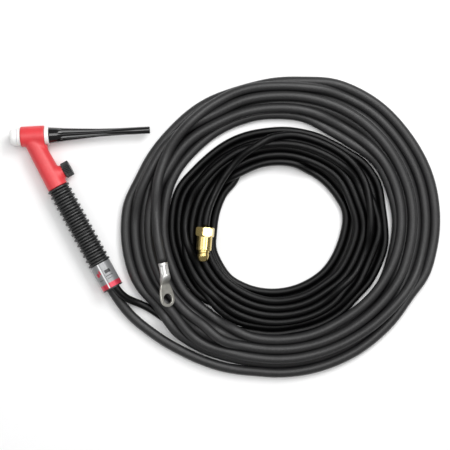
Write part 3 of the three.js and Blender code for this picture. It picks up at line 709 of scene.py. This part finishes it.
def sewn(source, target, within):
    """Writes a mesh to another with coinciding corners joined and its faces turned outwards."""
    bm = bmesh.new()
    bm.from_mesh(source)
    bmesh.ops.remove_doubles(bm, verts=bm.verts, dist=within)
    bmesh.ops.recalc_face_normals(bm, faces=bm.faces)
    bm.to_mesh(target)
    bm.free()


def turned(name, outline, sides, matrix, material, shape=None, longest=1.5, crease=40):
    """A turned piece, from an outline that ends where it starts.

    shape(radius, along, turn) may change each point's radius as a cutter would.
    """
    line = rounded(outline, longest)[:-1]
    turn = np.linspace(0, 2 * math.pi, sides, endpoint=False)
    radius, along = np.meshgrid(line[:, 0], turn, indexing="ij")[0], np.repeat(line[:, 1:], sides, 1)
    turns = np.repeat(turn[None, :], len(line), 0)
    if shape is not None:
        radius = shape(radius, along, turns)
    points = np.stack([radius * np.cos(turns), radius * np.sin(turns), along], -1).reshape(-1, 3)
    faces, uv = [], []
    for i in range(len(line)):
        j = (i + 1) % len(line)
        for k in range(sides):
            m = (k + 1) % sides
            faces.append((i * sides + k, i * sides + m, j * sides + m, j * sides + k))
            low, high = line[i, 1], line[j, 1]
            uv += [(k / sides, low), ((k + 1) / sides, low), ((k + 1) / sides, high), (k / sides, high)]
    world = points @ np.array(matrix.to_3x3()).T + np.array(matrix.translation)
    piece = mesh_piece(name, world, faces, material, uv)
    sewn(piece.data, piece.data, 1e-7)
    piece.data.set_sharp_from_angle(angle=math.radians(crease))
    return piece


def fit(piece, body, node):
    """A finished piece goes on its body and the node that it stands for."""
    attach(piece, body)
    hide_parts(node)


handle_axis = axis_matrix(place(0, 0, AXIS_HEIGHT), (0, 1, 0))


def knurled(radius, along, turn):
    """Fine lengthwise knurls on the rings between the ridges."""
    on_ring = np.clip((radius - VALLEY_RADIUS - 0.3) / 0.2, 0, 1) * (radius < FINE_RING_RADIUS + 0.1)
    grooves = 0.5 - 0.5 * np.cos(KNURLS * turn)
    return radius - KNURL_DEPTH * on_ring * (along > TAIL_LENGTH) * grooves ** 2


grip_outline = [
    (GRIP_BORE, 0, 0.3), (RIM_RADIUS, 0, 0.35), (RIM_RADIUS, RIM_LENGTH, 0.2), (TAIL_RADIUS, RIM_LENGTH),
    (TAIL_RADIUS, TAIL_LENGTH),
]
pitch = (GRIP_LENGTH - TAIL_LENGTH - RING_BASE) / (RING_COUNT - 1)
for i in range(RING_COUNT):
    low = TAIL_LENGTH + i * pitch
    foot = max(low - RING_SPREAD, TAIL_LENGTH + 0.05)
    end = min(low + RING_BASE + RING_SPREAD, GRIP_LENGTH - 0.05)
    grip_outline += [
        (VALLEY_RADIUS, foot, 0.6), (RIDGE_RADIUS, low + 0.85, 0.65),
        (RIDGE_RADIUS, low + RING_BASE - 0.85, 0.65), (VALLEY_RADIUS, end, 0.6),
    ]
    if i < RING_COUNT - 1:
        middle = low + (RING_BASE + pitch) / 2
        near, far = middle - FINE_RING_WIDTH / 2, middle + FINE_RING_WIDTH / 2
        grip_outline += [
            (VALLEY_RADIUS, near - 0.3, 0.15), (FINE_RING_RADIUS, near, 0.3),
            (FINE_RING_RADIUS, far, 0.3), (VALLEY_RADIUS, far + 0.3, 0.15),
        ]
grip_outline += [(GRIP_BORE, GRIP_LENGTH, 0.1), (GRIP_BORE, 0)]
grip_black = finish(
    "grip_black", (0.009, 0.0095, 0.01), roughness=0.36, shade=0.3, patch=120.0, spread=0.1,
    grain_scale=2600.0, grain_depth=0.00004, dusty=0.04, bare=((0.05, 0.05, 0.052), 0.6),
    specular_ior_level=0.55,
)
grip = turned(
    "handle_grip_moulded", grip_outline, 256, handle_axis, grip_black, shape=knurled, longest=2.5
)
fit(grip, "torch", "handle_grip")


def print_and_highlight_mask(tree, low_turn, high_turn, low, high):
    """A mask for a bar on a turned piece, from one turn and length to another: a bar of print, and also
    the white line of painted highlight.
    """
    masks = []
    for axis, start, end, edge in ((0, low_turn, high_turn, 0.002), (1, low, high, 0.12)):
        value = map_value(tree, axis)
        masks.append(spread_out(tree, value, start, start + edge, 0.0, 1.0))
        masks.append(spread_out(tree, value, end - edge, end, 1.0, 0.0))
    product = masks[0]
    for mask in masks[1:]:
        product = math_node(tree, "MULTIPLY", product, mask)
    return product


RED_INK = (0.62, 0.035, 0.07)
BLACK_INK = (0.02, 0.02, 0.022)
# This white is for the painted highlight along the sleeve, not for ink.
HIGHLIGHT_WHITE = (0.85, 0.86, 0.86)


def foil_print_and_highlight(tree):
    """Silver foil with a painted highlight along it as a white line, a red band near its end and a few
    plain bars.
    """
    line = HIGHLIGHT_LINE_TURN
    brushed = noise(tree, 700.0, 3, (1, 0.05, 1))
    color = mix_color(tree, brushed, (0.24, 0.24, 0.245), (0.31, 0.315, 0.32))
    bars = [
        (RED_INK, line - 0.1, line - 0.05, 20.0, 25.0),
        (RED_INK, line - 0.045, line - 0.018, 22.0, 27.5),
        (BLACK_INK, line + 0.045, line + 0.14, 20.5, 25.0),
        (BLACK_INK, line + 0.03, line + 0.15, 16.6, 17.6),
        (BLACK_INK, line - 0.11, line - 0.03, 14.2, 15.0),
        (BLACK_INK, line + 0.04, line + 0.12, 13.0, 13.8),
        (RED_INK, -0.01, 1.01, 1.8, 8.3),
        # Painted highlight: a white line along the top of the sleeve that stands for a lamp's
        # reflection.
        (HIGHLIGHT_WHITE, line - 0.012, line + 0.012, 1.8, 35.2),
    ]
    for ink, low_turn, high_turn, low, high in bars:
        color = mix_color(tree, print_and_highlight_mask(tree, low_turn, high_turn, low, high), color, ink)
    return color


label_foil = finish(
    "label_foil", foil_print_and_highlight, roughness=0.34, shade=0.15, patch=90.0, spread=0.1, grain_scale=900.0,
    grain_depth=0.00001, dusty=0.02, metallic=0.35, coat_weight=0.15, coat_roughness=0.3,
)
sleeve_outline = [
    (RIM_RADIUS - FOIL, RIM_LENGTH + 0.3), (RIM_RADIUS, RIM_LENGTH + 0.3, 0.15),
    (RIM_RADIUS, TAIL_LENGTH - 0.3, 0.15), (RIM_RADIUS - FOIL, TAIL_LENGTH - 0.3),
    (RIM_RADIUS - FOIL, RIM_LENGTH + 0.3),
]
sleeve = turned("label_sleeve_printed", sleeve_outline, 128, handle_axis, label_foil)
fit(sleeve, "torch", "label_sleeve")

# ---- Red cover -------------------------------------------------------------------------------
# One soft moulding over the neck and the head. The neck flows into the head and into the round
# boss of the valve. Its front end is a thin spigot inside the handle.
HEAD_RADIUS = 13
HEAD_FRONT = -11.7
HEAD_BACK = 18.5
CORE_SPACE = 9.3
HEAD_Y = 219.5
VALVE_Y = 160.5
HOUSING_SPACE = 9.5
HOUSING_HALF = 10.8
BONNET_SPACE = 6.5
BOSS_RADIUS = 8.6
BOSS_REACH = 16
TUBE_SPACE = 4.8
NECK_RADIUS = 13  # of the plain rod that the neck's own radii change
NECK_START = 146.3
NECK_END = 219
neck_radii = {146: 13.15, 160.5: 12.75, 183: 12.25, 206.5: 11.4, 225: 11.2}
SPIGOT_RADIUS = 11.15
SPIGOT_BORE = 9.8
SPIGOT_START = 134
SPIGOT_END = 148
CAVITY_START = 133
head_place = Vector(joints["cap_turn"]["pos_m"])
head_direction = Vector(joints["cap_turn"]["axis"])
head_axis = axis_matrix(head_place, head_direction)


def rod_field(across, along, radius, low, high, edge):
    """How far outside a rod with rounded ends each point is, below 0 inside it."""
    outward = np.stack([across - radius, np.maximum(low - along, along - high)], -1) + edge
    corner = np.linalg.norm(np.maximum(outward, 0), axis=-1)
    return corner + np.minimum(outward.max(-1), 0) - edge


def melted(first, second, width):
    """Two shapes joined with a fillet between them."""
    share = np.clip(0.5 + 0.5 * (second - first) / width, 0, 1)
    return second + (first - second) * share - width * share * (1 - share)


def red_cover_field(points):
    """The cover's shape, from points in the torch's frame about its axis."""
    x, y, z = points.T
    along = x * head_direction.x + (y - HEAD_Y) * head_direction.y
    across = np.hypot(-x * head_direction.y + (y - HEAD_Y) * head_direction.x, z)
    around = np.hypot(x, z)
    thinner = NECK_RADIUS - np.interp(y, list(neck_radii), list(neck_radii.values()))
    neck = rod_field(around + thinner, y, NECK_RADIUS, NECK_START, NECK_END, 0.3)
    head = rod_field(across, along, HEAD_RADIUS, HEAD_FRONT, HEAD_BACK, 1.3)
    boss = rod_field(np.hypot(y - VALVE_Y, z), x, BOSS_RADIUS, 0, BOSS_REACH, 0.8)
    over = -x * head_direction.y + (y - HEAD_Y) * head_direction.x
    fillet = (2 + 8 * np.clip((x + 2) / 12, 0, 1)) * np.clip(1.1 - (z / 13) ** 2, 0.15, 1)
    fillet *= np.clip(-over / 6, 0.05, 1)
    outside = melted(melted(neck, head, fillet), boss, 3.5)
    spigot = rod_field(around, y, SPIGOT_RADIUS, SPIGOT_START, SPIGOT_END, 0.3)
    outside = np.minimum(outside, spigot)
    spaces = [
        rod_field(across, along, CORE_SPACE, -40, 40, 0),
        rod_field(across, along, HEAD_RADIUS + 2, HEAD_FRONT - 20, HEAD_FRONT, 0),
        rod_field(across, along, HEAD_RADIUS - 1, HEAD_BACK, HEAD_BACK + 20, 0),
        rod_field(around, y, TUBE_SPACE, VALVE_Y, HEAD_Y, 0),
        rod_field(around, y, HOUSING_SPACE, VALVE_Y - HOUSING_HALF, VALVE_Y + HOUSING_HALF, 0),
        rod_field(np.hypot(y - VALVE_Y, z), x, BONNET_SPACE, 0, 40, 0),
        rod_field(around, y, SPIGOT_BORE, CAVITY_START - 10, VALVE_Y, 0),
    ]
    for space in spaces:
        outside = np.maximum(outside, -space)
    return outside


def moulded(name, node, field, to_local, voxel, material):
    """A CAD piece's shape with the finer form of a field: fillets, rounded edges and smooth curves."""
    mesh = bpy.data.meshes.new(name)
    sewn(nodes[node].data, mesh, 1e-6)
    piece = in_scene(name, mesh)
    for _ in range(2):
        remesh = piece.modifiers.new("remesh", "REMESH")
        remesh.mode = "VOXEL"
        remesh.voxel_size = voxel * MM
        evaluated = piece.evaluated_get(bpy.context.evaluated_depsgraph_get())
        finer = bpy.data.meshes.new_from_object(evaluated)
        piece.modifiers.clear()
        piece.data = finer
        points = np.empty(len(finer.vertices) * 3, np.float32)
        finer.vertices.foreach_get("co", points)
        local = to_local(points.reshape(-1, 3).astype(float))
        for _ in range(5):
            value = field(local)
            slope = np.stack([(field(local + step) - value) / 0.02 for step in 0.02 * np.eye(3)], -1)
            move = slope * (value / np.maximum((slope ** 2).sum(1), 0.2))[:, None]
            length = np.linalg.norm(move, axis=1)[:, None] + 1e-9
            local -= move * np.minimum(1, 1.2 / length)
        finer.vertices.foreach_set("co", to_local(local, back=True).astype(np.float32).ravel())
        finer.update()
    piece.data.materials.clear()
    piece.data.materials.append(material)
    piece.data.shade_smooth()
    return piece


def about_torch_axis(points, back=False):
    """Metres in the shared frame to millimetres about the handle's axis, or back."""
    origin = np.array(place(0, 0, AXIS_HEIGHT))
    return points * MM + origin if back else (points - origin) / MM


red_cover = finish(
    "red_cover", (0.74, 0.04, 0.05), roughness=0.42, shade=0.12, patch=55.0, spread=0.08,
    grain_scale=1500.0, grain_depth=0.00003, dusty=0.04, specular_ior_level=0.5, sheen_weight=0.08,
    sheen_roughness=0.4,
)
cover = moulded(
    "red_cover_moulded", "torch_body_shell", red_cover_field, about_torch_axis, 0.6, red_cover
)
cover.data.set_sharp_from_angle(angle=math.radians(50))
fit(cover, "torch", "torch_body_shell")

# ---- Neck and valve metal --------------------------------------------------------------------
# Turned brass parts that the cover is moulded round: the threaded head block, the gas tube, the
# valve housing with its stud and barb. Inside are the crimped cable end and the bare copper.


def inner_metal(name, color, roughness, metallic=1.0, depth=0.00001):
    """A machined or drawn metal: fine scratches, faint stains and a little dust."""
    return finish(
        name, color, roughness=roughness, shade=0.12, patch=70.0, spread=0.12, grain_scale=1800.0,
        grain_depth=depth, dusty=0.03, metallic=metallic,
    )


brass = inner_metal("brass", (0.72, 0.56, 0.22), 0.2)
copper = inner_metal("copper", (0.86, 0.42, 0.27), 0.3)


def cad_piece(node, material, edge=0.12):
    """A node that keeps its own shape gets its material, smooth sides and slightly rounded edges."""
    piece = nodes[node]
    piece.data.materials.clear()
    piece.data.materials.append(material)
    piece.data.shade_smooth()
    weld = piece.modifiers.new("weld", "WELD")
    weld.merge_threshold = 1e-6
    bevel = piece.modifiers.new("edges", "BEVEL")
    bevel.width = edge * MM
    bevel.segments = 2
    bevel.limit_method = "ANGLE"
    bevel.angle_limit = math.radians(32)
    bevel.harden_normals = True


for node in ("head_core", "neck_tube", "valve_housing", "power_stud", "gas_barb"):
    cad_piece(node, brass)
for node in ("cable_ferrule", "power_conductor", "lug_conductor"):
    cad_piece(node, copper)

# ---- Front of the head -----------------------------------------------------------------------
# A white gasket against the head's front face and a short gas nozzle screwed on by hand, with the
# collet body, the slit collet and the tungsten electrode inside it.
GASKET_FRONT = -16.2
GASKET_BACK = -12
GASKET_RADIUS = 11.5
GASKET_BORE = 9.3
NOZZLE_FRONT = -25.2
NOZZLE_BACK = -16.5
NOZZLE_TIP_RADIUS = 7.5
NOZZLE_BASE_RADIUS = 10.9
NOZZLE_MOUTH = 5.6
NOZZLE_BORE = 6.5
NOZZLE_COLLAR_RADIUS = 9
NOZZLE_COLLAR = 4

ptfe_white = finish(
    "ptfe_white", (0.86, 0.86, 0.85), roughness=0.38, shade=0.03, patch=60.0, spread=0.05,
    grain_scale=1600.0, grain_depth=0.00001, dusty=0.02, subsurface_weight=0.1,
    subsurface_scale=0.002,
)
ceramic_white = finish(
    "ceramic_white", (0.88, 0.88, 0.87), roughness=0.28, shade=0.03, patch=45.0, spread=0.05,
    grain_scale=1300.0, grain_depth=0.00001, dusty=0.02, coat_weight=0.3, coat_roughness=0.12,
)
gasket_outline = [
    (GASKET_RADIUS - 0.5, GASKET_FRONT), (GASKET_RADIUS, GASKET_FRONT + 0.5, 0.4),
    (GASKET_RADIUS, GASKET_BACK, 0.3), (GASKET_BORE, GASKET_BACK, 0.2),
    (GASKET_BORE, GASKET_FRONT, 0.2), (GASKET_RADIUS - 0.5, GASKET_FRONT),
]
gasket = turned("front_gasket_turned", gasket_outline, 72, head_axis, ptfe_white, longest=3)
fit(gasket, "torch", "front_gasket")

nozzle_outline = [(NOZZLE_MOUTH, NOZZLE_FRONT + 0.6), (NOZZLE_MOUTH + 0.6, NOZZLE_FRONT)]
for k in range(13):
    turn = math.radians(90 * k / 12)
    radius = NOZZLE_TIP_RADIUS + (NOZZLE_BASE_RADIUS - NOZZLE_TIP_RADIUS) * math.sin(turn)
    along = NOZZLE_FRONT + (NOZZLE_BACK - NOZZLE_FRONT) * 0.8 * (1 - math.cos(turn))
    nozzle_outline.append((radius - (0.4 if k == 0 else 0), along, 0.5 if k == 0 else 0))
nozzle_outline += [
    (NOZZLE_BASE_RADIUS, NOZZLE_BACK, 0.3), (NOZZLE_COLLAR_RADIUS, NOZZLE_BACK),
    (NOZZLE_COLLAR_RADIUS, NOZZLE_BACK + NOZZLE_COLLAR, 0.3),
    (NOZZLE_BORE, NOZZLE_BACK + NOZZLE_COLLAR), (NOZZLE_BORE, NOZZLE_BACK),
    (NOZZLE_MOUTH, NOZZLE_BACK - 1), (NOZZLE_MOUTH, NOZZLE_FRONT + 0.6),
]
nozzle = turned("gas_nozzle_turned", nozzle_outline, 96, head_axis, ceramic_white, longest=3)
fit(nozzle, "nozzle", "gas_nozzle")
tungsten = inner_metal("tungsten", (0.42, 0.42, 0.43), 0.3)
cad_piece("collet_body", copper)
cad_piece("collet", copper)
cad_piece("tungsten_electrode", tungsten, 0.05)

# ---- Back cap --------------------------------------------------------------------------------
# A long black phenolic cap that covers the electrode's tail. Its brass insert screws into the head
# and its ring seals in the white insulator. It has a flared collar with shallow flutes after it.
INSULATOR_FRONT = 18.8
INSULATOR_BACK = 24
INSULATOR_RADIUS = 11.7
INSULATOR_BORE = 6.7
CAP_FRONT = 24.3
CAP_LENGTH = 128
CAP_MOUTH = 10.35
CAP_END = 4.55
CAP_BORE = 2.2
CAP_SOCKET = 5.3
CAP_SEAT = 9.5
CAP_TAPER = [  # how far along, and how much of the mouth's extra width is left
    (0, 1), (0.06, 0.86), (0.12, 0.71), (0.14, 0.65), (0.3, 0.4), (0.5, 0.11), (0.7, 0), (1, 0),
]
CAP_FLUTES = 10
FLUTE_DEPTH = 1.1
COLLAR_SHARE = 0.085

insulator_outline = [
    (INSULATOR_RADIUS - 0.3, INSULATOR_FRONT), (INSULATOR_RADIUS, INSULATOR_FRONT + 0.3, 0.3),
    (INSULATOR_RADIUS, INSULATOR_BACK, 0.6), (INSULATOR_BORE, INSULATOR_BACK, 0.3),
    (INSULATOR_BORE, INSULATOR_FRONT), (INSULATOR_RADIUS - 0.3, INSULATOR_FRONT),
]
insulator = turned("rear_insulator_turned", insulator_outline, 72, head_axis, ptfe_white, longest=3)
fit(insulator, "torch", "rear_insulator")


def fluted(radius, along, turn):
    """Shallow lengthwise flutes behind the collar that run out towards the cap's end."""
    share = (along - CAP_FRONT) / CAP_LENGTH
    depth = np.interp(share, [COLLAR_SHARE, COLLAR_SHARE + 0.05, 0.3, 0.6, 0.85], [0, 1, 0.8, 0.35, 0])
    outside = radius > CAP_BORE + 1.5
    scoop = np.abs(np.cos(CAP_FLUTES * turn / 2)) ** 1.5
    return radius - FLUTE_DEPTH * depth * scoop * outside


cap_outline = [(CAP_MOUTH - 0.5, CAP_FRONT)]
for share, swell in CAP_TAPER:
    radius = CAP_END + (CAP_MOUTH - CAP_END) * swell
    cap_outline.append((radius, CAP_FRONT + max(0.5, CAP_LENGTH * share), 1.2))
cap_outline += [
    (0.01, CAP_FRONT + CAP_LENGTH), (0.01, CAP_FRONT + CAP_LENGTH - 2.3),
    (CAP_BORE, CAP_FRONT + CAP_LENGTH - 2.3), (CAP_BORE, CAP_FRONT + CAP_SEAT),
    (CAP_SOCKET, CAP_FRONT + CAP_SEAT), (CAP_SOCKET, CAP_FRONT), (CAP_MOUTH - 0.5, CAP_FRONT),
]
phenolic_black = finish(
    "phenolic_black", (0.002, 0.002, 0.0024), roughness=0.13, shade=0.25, patch=50.0, spread=0.08,
    grain_scale=900.0, grain_depth=0.00001, dusty=0.012, bare=((0.05, 0.05, 0.05), 0.4),
    coat_weight=0.25, coat_roughness=0.08,
)
cap = turned(
    "back_cap_moulded", cap_outline, 120, head_axis, phenolic_black, shape=fluted, longest=1.6
)
fit(cap, "cap", "back_cap")
seal_rubber = finish(
    "seal_rubber", (0.02, 0.02, 0.02), roughness=0.55, shade=0.2, patch=90.0, spread=0.1,
    grain_scale=1500.0, grain_depth=0.00001, dusty=0.05,
)
cad_piece("back_cap_insert", brass)
cad_piece("back_cap_o_ring", seal_rubber)
cad_piece("valve_o_ring", seal_rubber)

# ---- Valve knob ------------------------------------------------------------------------------
# A round moulded knob of hard black plastic with fine ribs to turn it by. It is held on the valve's
# steel stem by a small screw in a recess of its end.
KNOB_FRONT = 16.5
KNOB_BACK = 26.4
KNOB_RADIUS = 10.1
KNOB_RIBS = 28
RIB_DEPTH = 1.1
STEM_SPACE = 2.5
SCREW_HEAD_SPACE = 3.3
RECESS_FLOOR = 24.1
valve_axis = axis_matrix(place(0, VALVE_Y, AXIS_HEIGHT), joints["valve_turn"]["axis"])


def ribbed(radius, along, turn):
    """Fine ribs round the knob's side."""
    side = np.clip((radius - KNOB_RADIUS + 1.2) / 0.8, 0, 1)
    middle = np.clip(np.minimum(along - KNOB_FRONT, KNOB_BACK - along) / 1.2, 0.25, 1)
    return radius - RIB_DEPTH * side * middle * (0.5 - 0.5 * np.cos(KNOB_RIBS * turn)) ** 1.5


knob_outline = [
    (STEM_SPACE, KNOB_FRONT), (KNOB_RADIUS, KNOB_FRONT, 0.8), (KNOB_RADIUS, KNOB_BACK, 1.0),
    (SCREW_HEAD_SPACE, KNOB_BACK, 0.4), (SCREW_HEAD_SPACE, RECESS_FLOOR),
    (STEM_SPACE, RECESS_FLOOR), (STEM_SPACE, KNOB_FRONT),
]
knob_black = finish(
    "knob_black", (0.01, 0.01, 0.011), roughness=0.36, shade=0.2, patch=120.0, spread=0.1,
    grain_scale=1500.0, grain_depth=0.00002, dusty=0.03, bare=((0.07, 0.07, 0.07), 0.5),
)
knob = turned(
    "valve_knob_moulded", knob_outline, 360, valve_axis, knob_black, shape=ribbed, longest=1.2
)
fit(knob, "valve", "valve_knob")
steel = inner_metal("steel", (0.55, 0.55, 0.56), 0.32)
cad_piece("valve_stem", steel)
cad_piece("knob_screw", steel)

# ---- Cable lug -------------------------------------------------------------------------------
# A tinned copper tube crimped on the bare end of the power cable, its front pressed flat into a
# drilled ring. The barrel is bright and the worked pad is duller.
LUG_RADIUS = 6.3
LUG_BORE = 4.9
BARREL_LENGTH = 18
PRESS_LENGTH = 9
PAD_THICKNESS = 3
PAD_NECK = 6.2
PAD_RADIUS = 10.25
RING_PLACE = 45.75
LUG_HOLE = 6.5
LUG_OFFSET = 0.3
CRIMP_DEPTH = 0.55
LUG_ROLL = -37


def end_matrix(origin, direction, roll):
    """Millimetres about a lead's end, with y along the lead, to the shared frame."""
    heading = math.atan2(direction[1], direction[0]) - math.pi / 2
    turn = Matrix.Rotation(heading, 4, "Z") @ Matrix.Rotation(math.radians(roll), 4, "Y")
    return Matrix.Translation(place(*origin)) @ turn @ Matrix.Scale(MM, 4)


lug_matrix = end_matrix(cable_tail_route[-1], LUG_DIRECTION, LUG_ROLL)


def about_lug(points, back=False):
    """Metres in the shared frame to millimetres about the cable's end, or back."""
    matrix = lug_matrix if back else lug_matrix.inverted()
    return points @ np.array(matrix.to_3x3()).T + np.array(matrix.translation)


def lug_field(points):
    """The lug's shape: a crimped barrel, a pressed slope and a drilled pad at its lower side."""
    x, y, z = points[:, 0], points[:, 1] - LUG_OFFSET, points[:, 2]
    crimp = np.clip(np.minimum(y - 3, BARREL_LENGTH - 2 - y) / 1.5, 0, 1)
    around = np.hypot(x, z) + CRIMP_DEPTH * crimp * (0.5 - 0.5 * np.cos(6 * np.arctan2(z, x)))
    barrel = rod_field(around, y, LUG_RADIUS, 0, BARREL_LENGTH + PRESS_LENGTH, 0.4)
    fall = (2 * LUG_RADIUS - PAD_THICKNESS) / PRESS_LENGTH
    press = (z - LUG_RADIUS + (y - BARREL_LENGTH) * fall) / math.hypot(1, fall)
    barrel = -melted(-barrel, -press, 2.0)
    t = np.linspace(0, 1, 12)
    side_x = (1 - t) ** 2 * PAD_NECK + (2 * t - t ** 2) * PAD_RADIUS
    side_y = (1 - t) ** 2 * (BARREL_LENGTH + PRESS_LENGTH) + 2 * t * (1 - t) * (RING_PLACE - PAD_RADIUS)
    side_y += t ** 2 * RING_PLACE
    half_width = np.interp(y, [BARREL_LENGTH, *side_y], [PAD_NECK * 0.8, *side_x])
    side = np.where(y < RING_PLACE, np.abs(x) - half_width, np.hypot(x, y - RING_PLACE) - PAD_RADIUS)
    side = np.maximum(side, BARREL_LENGTH - y)
    flat = np.abs(z + LUG_RADIUS - PAD_THICKNESS / 2) - PAD_THICKNESS / 2
    outward = np.stack([side, flat], -1) + 0.5
    pad = np.linalg.norm(np.maximum(outward, 0), axis=-1) + np.minimum(outward.max(-1), 0) - 0.5
    body = melted(barrel, pad, 2.0)
    hole = LUG_HOLE - np.hypot(x, y - RING_PLACE)
    bore = rod_field(np.hypot(x, z), y, LUG_BORE, -5, BARREL_LENGTH, 0)
    return np.maximum(np.maximum(body, hole), -bore)


def tin_color(tree):
    """Bright tin on the barrel, a duller grey on the pad where it was pressed and bolted down."""
    pad = tree.nodes.new("ShaderNodeAttribute")
    pad.attribute_name = "pad"
    stain = noise(tree, 160.0, 3)
    dull = mix_color(tree, stain, (0.42, 0.41, 0.36), (0.68, 0.67, 0.62))
    return mix_color(tree, pad.outputs["Fac"], (0.86, 0.86, 0.84), dull)


tinned_copper = finish(
    "tinned_copper", tin_color, roughness=0.36, shade=0.15, patch=90.0, spread=0.1,
    grain_scale=1400.0, grain_depth=0.00003, dusty=0.03, metallic=0.85,
)
lug = moulded("cable_lug_pressed", "cable_lug", lug_field, about_lug, 0.5, tinned_copper)
lug.data.set_sharp_from_angle(angle=math.radians(55))
lug_points = np.empty(len(lug.data.vertices) * 3, np.float32)
lug.data.vertices.foreach_get("co", lug_points)
lug_along = about_lug(lug_points.reshape(-1, 3).astype(float))[:, 1]
pad_share = np.clip((lug_along - BARREL_LENGTH - 2) / 5, 0, 1).astype(np.float32)
lug.data.attributes.new("pad", "FLOAT", "POINT").data.foreach_set("value", pad_share)
fit(lug, "torch", "cable_lug")

# ---- Gas fitting -----------------------------------------------------------------------------
# A polished brass union nut, a hexagon and a collar in one piece, that spins on a bullet-nosed
# nipple with a barb in the hose.
NUT_START = 0.3
HEX_LENGTH = 11.6
ACROSS_FLATS = 21
COLLAR_RADIUS = 9.7
NUT_END = 29.3
NUT_BORE = 5.2
NUT_CHAMBER = 8
SHOULDER_RADIUS = 7.8
SHOULDER_START = 9.2
NOSE_RADIUS = 7.4
NOSE_GROOVE = 0.7
NOSE_END = 43
NOSE_TIP = 4.6
GAS_PASSAGE = 2
BARB_BORE = 1.5
BARB_RADIUS = 3
BARB_END = -17
FITTING_TURN = 12

along_end = Matrix.Rotation(-math.pi / 2, 4, "X")
fitting_matrix = end_matrix(hose_tail_route[-1], FITTING_DIRECTION, FITTING_TURN) @ along_end


def hexagonal(radius, along, turn):
    """The flats of the nut's hexagon, with its corners turned off at both ends."""
    flat = math.pi / 3
    across = ACROSS_FLATS / 2 / np.cos((turn + flat / 2) % flat - flat / 2)
    from_end = np.minimum(along - NUT_START, NUT_START + HEX_LENGTH - along)
    trim = ACROSS_FLATS / math.sqrt(3) - 1.1 + 1.1 * np.clip(from_end / 1.1, 0, 1)
    on_hexagon = (along <= NUT_START + HEX_LENGTH + 0.01) & (radius > COLLAR_RADIUS + 0.05)
    return np.where(on_hexagon, np.minimum(radius, np.minimum(across, trim)), radius)


corner = ACROSS_FLATS / math.sqrt(3)
hex_end = NUT_START + HEX_LENGTH
nut_outline = [
    (NUT_BORE, NUT_START), (corner, NUT_START), (corner, hex_end), (COLLAR_RADIUS, hex_end, 0.4),
    (COLLAR_RADIUS, NUT_END, 0.9), (NUT_CHAMBER, NUT_END, 0.3), (NUT_CHAMBER, hex_end - 3),
    (NUT_BORE, hex_end - 3), (NUT_BORE, NUT_START),
]
nut = turned("gas_nut_turned", nut_outline, 144, fitting_matrix, brass, shape=hexagonal, longest=0.6)
fit(nut, "union_nut", "gas_nut")

nipple_outline = []
barb_step = (-2 - BARB_END) / 4
for i in range(4):
    low = BARB_END + i * barb_step
    nipple_outline += [(BARB_RADIUS - 0.6, low), (BARB_RADIUS, low + 0.8 * barb_step)]
nipple_outline += [
    (BARB_RADIUS - 0.6, -2), (BARB_RADIUS - 0.6, 0.3), (BARB_RADIUS + 0.6, 0.6),
    (BARB_RADIUS + 0.6, SHOULDER_START), (SHOULDER_RADIUS, SHOULDER_START),
    (SHOULDER_RADIUS, SHOULDER_START + 3), (NOSE_RADIUS, SHOULDER_START + 3.5),
    (NOSE_RADIUS, NUT_END + 2.5, 0.3), (NOSE_RADIUS - NOSE_GROOVE, NUT_END + 3, 0.2),
    (NOSE_RADIUS - NOSE_GROOVE, NUT_END + 4.2, 0.2), (NOSE_RADIUS, NUT_END + 4.7, 0.3),
    (NOSE_RADIUS, NUT_END + 7.5, 1.5), (NOSE_RADIUS - 0.8, NOSE_END - 3.4, 1.5),
    (NOSE_TIP + 0.8, NOSE_END - 0.8, 0.8), (NOSE_TIP, NOSE_END, 0.4), (GAS_PASSAGE, NOSE_END, 0.3),
    (GAS_PASSAGE, HEX_LENGTH), (BARB_BORE, SHOULDER_START), (BARB_BORE, BARB_END),
    (BARB_RADIUS - 0.6, BARB_END),
]
nipple = turned("gas_nipple_turned", nipple_outline, 72, fitting_matrix, brass, longest=3)
fit(nipple, "torch", "gas_nipple")
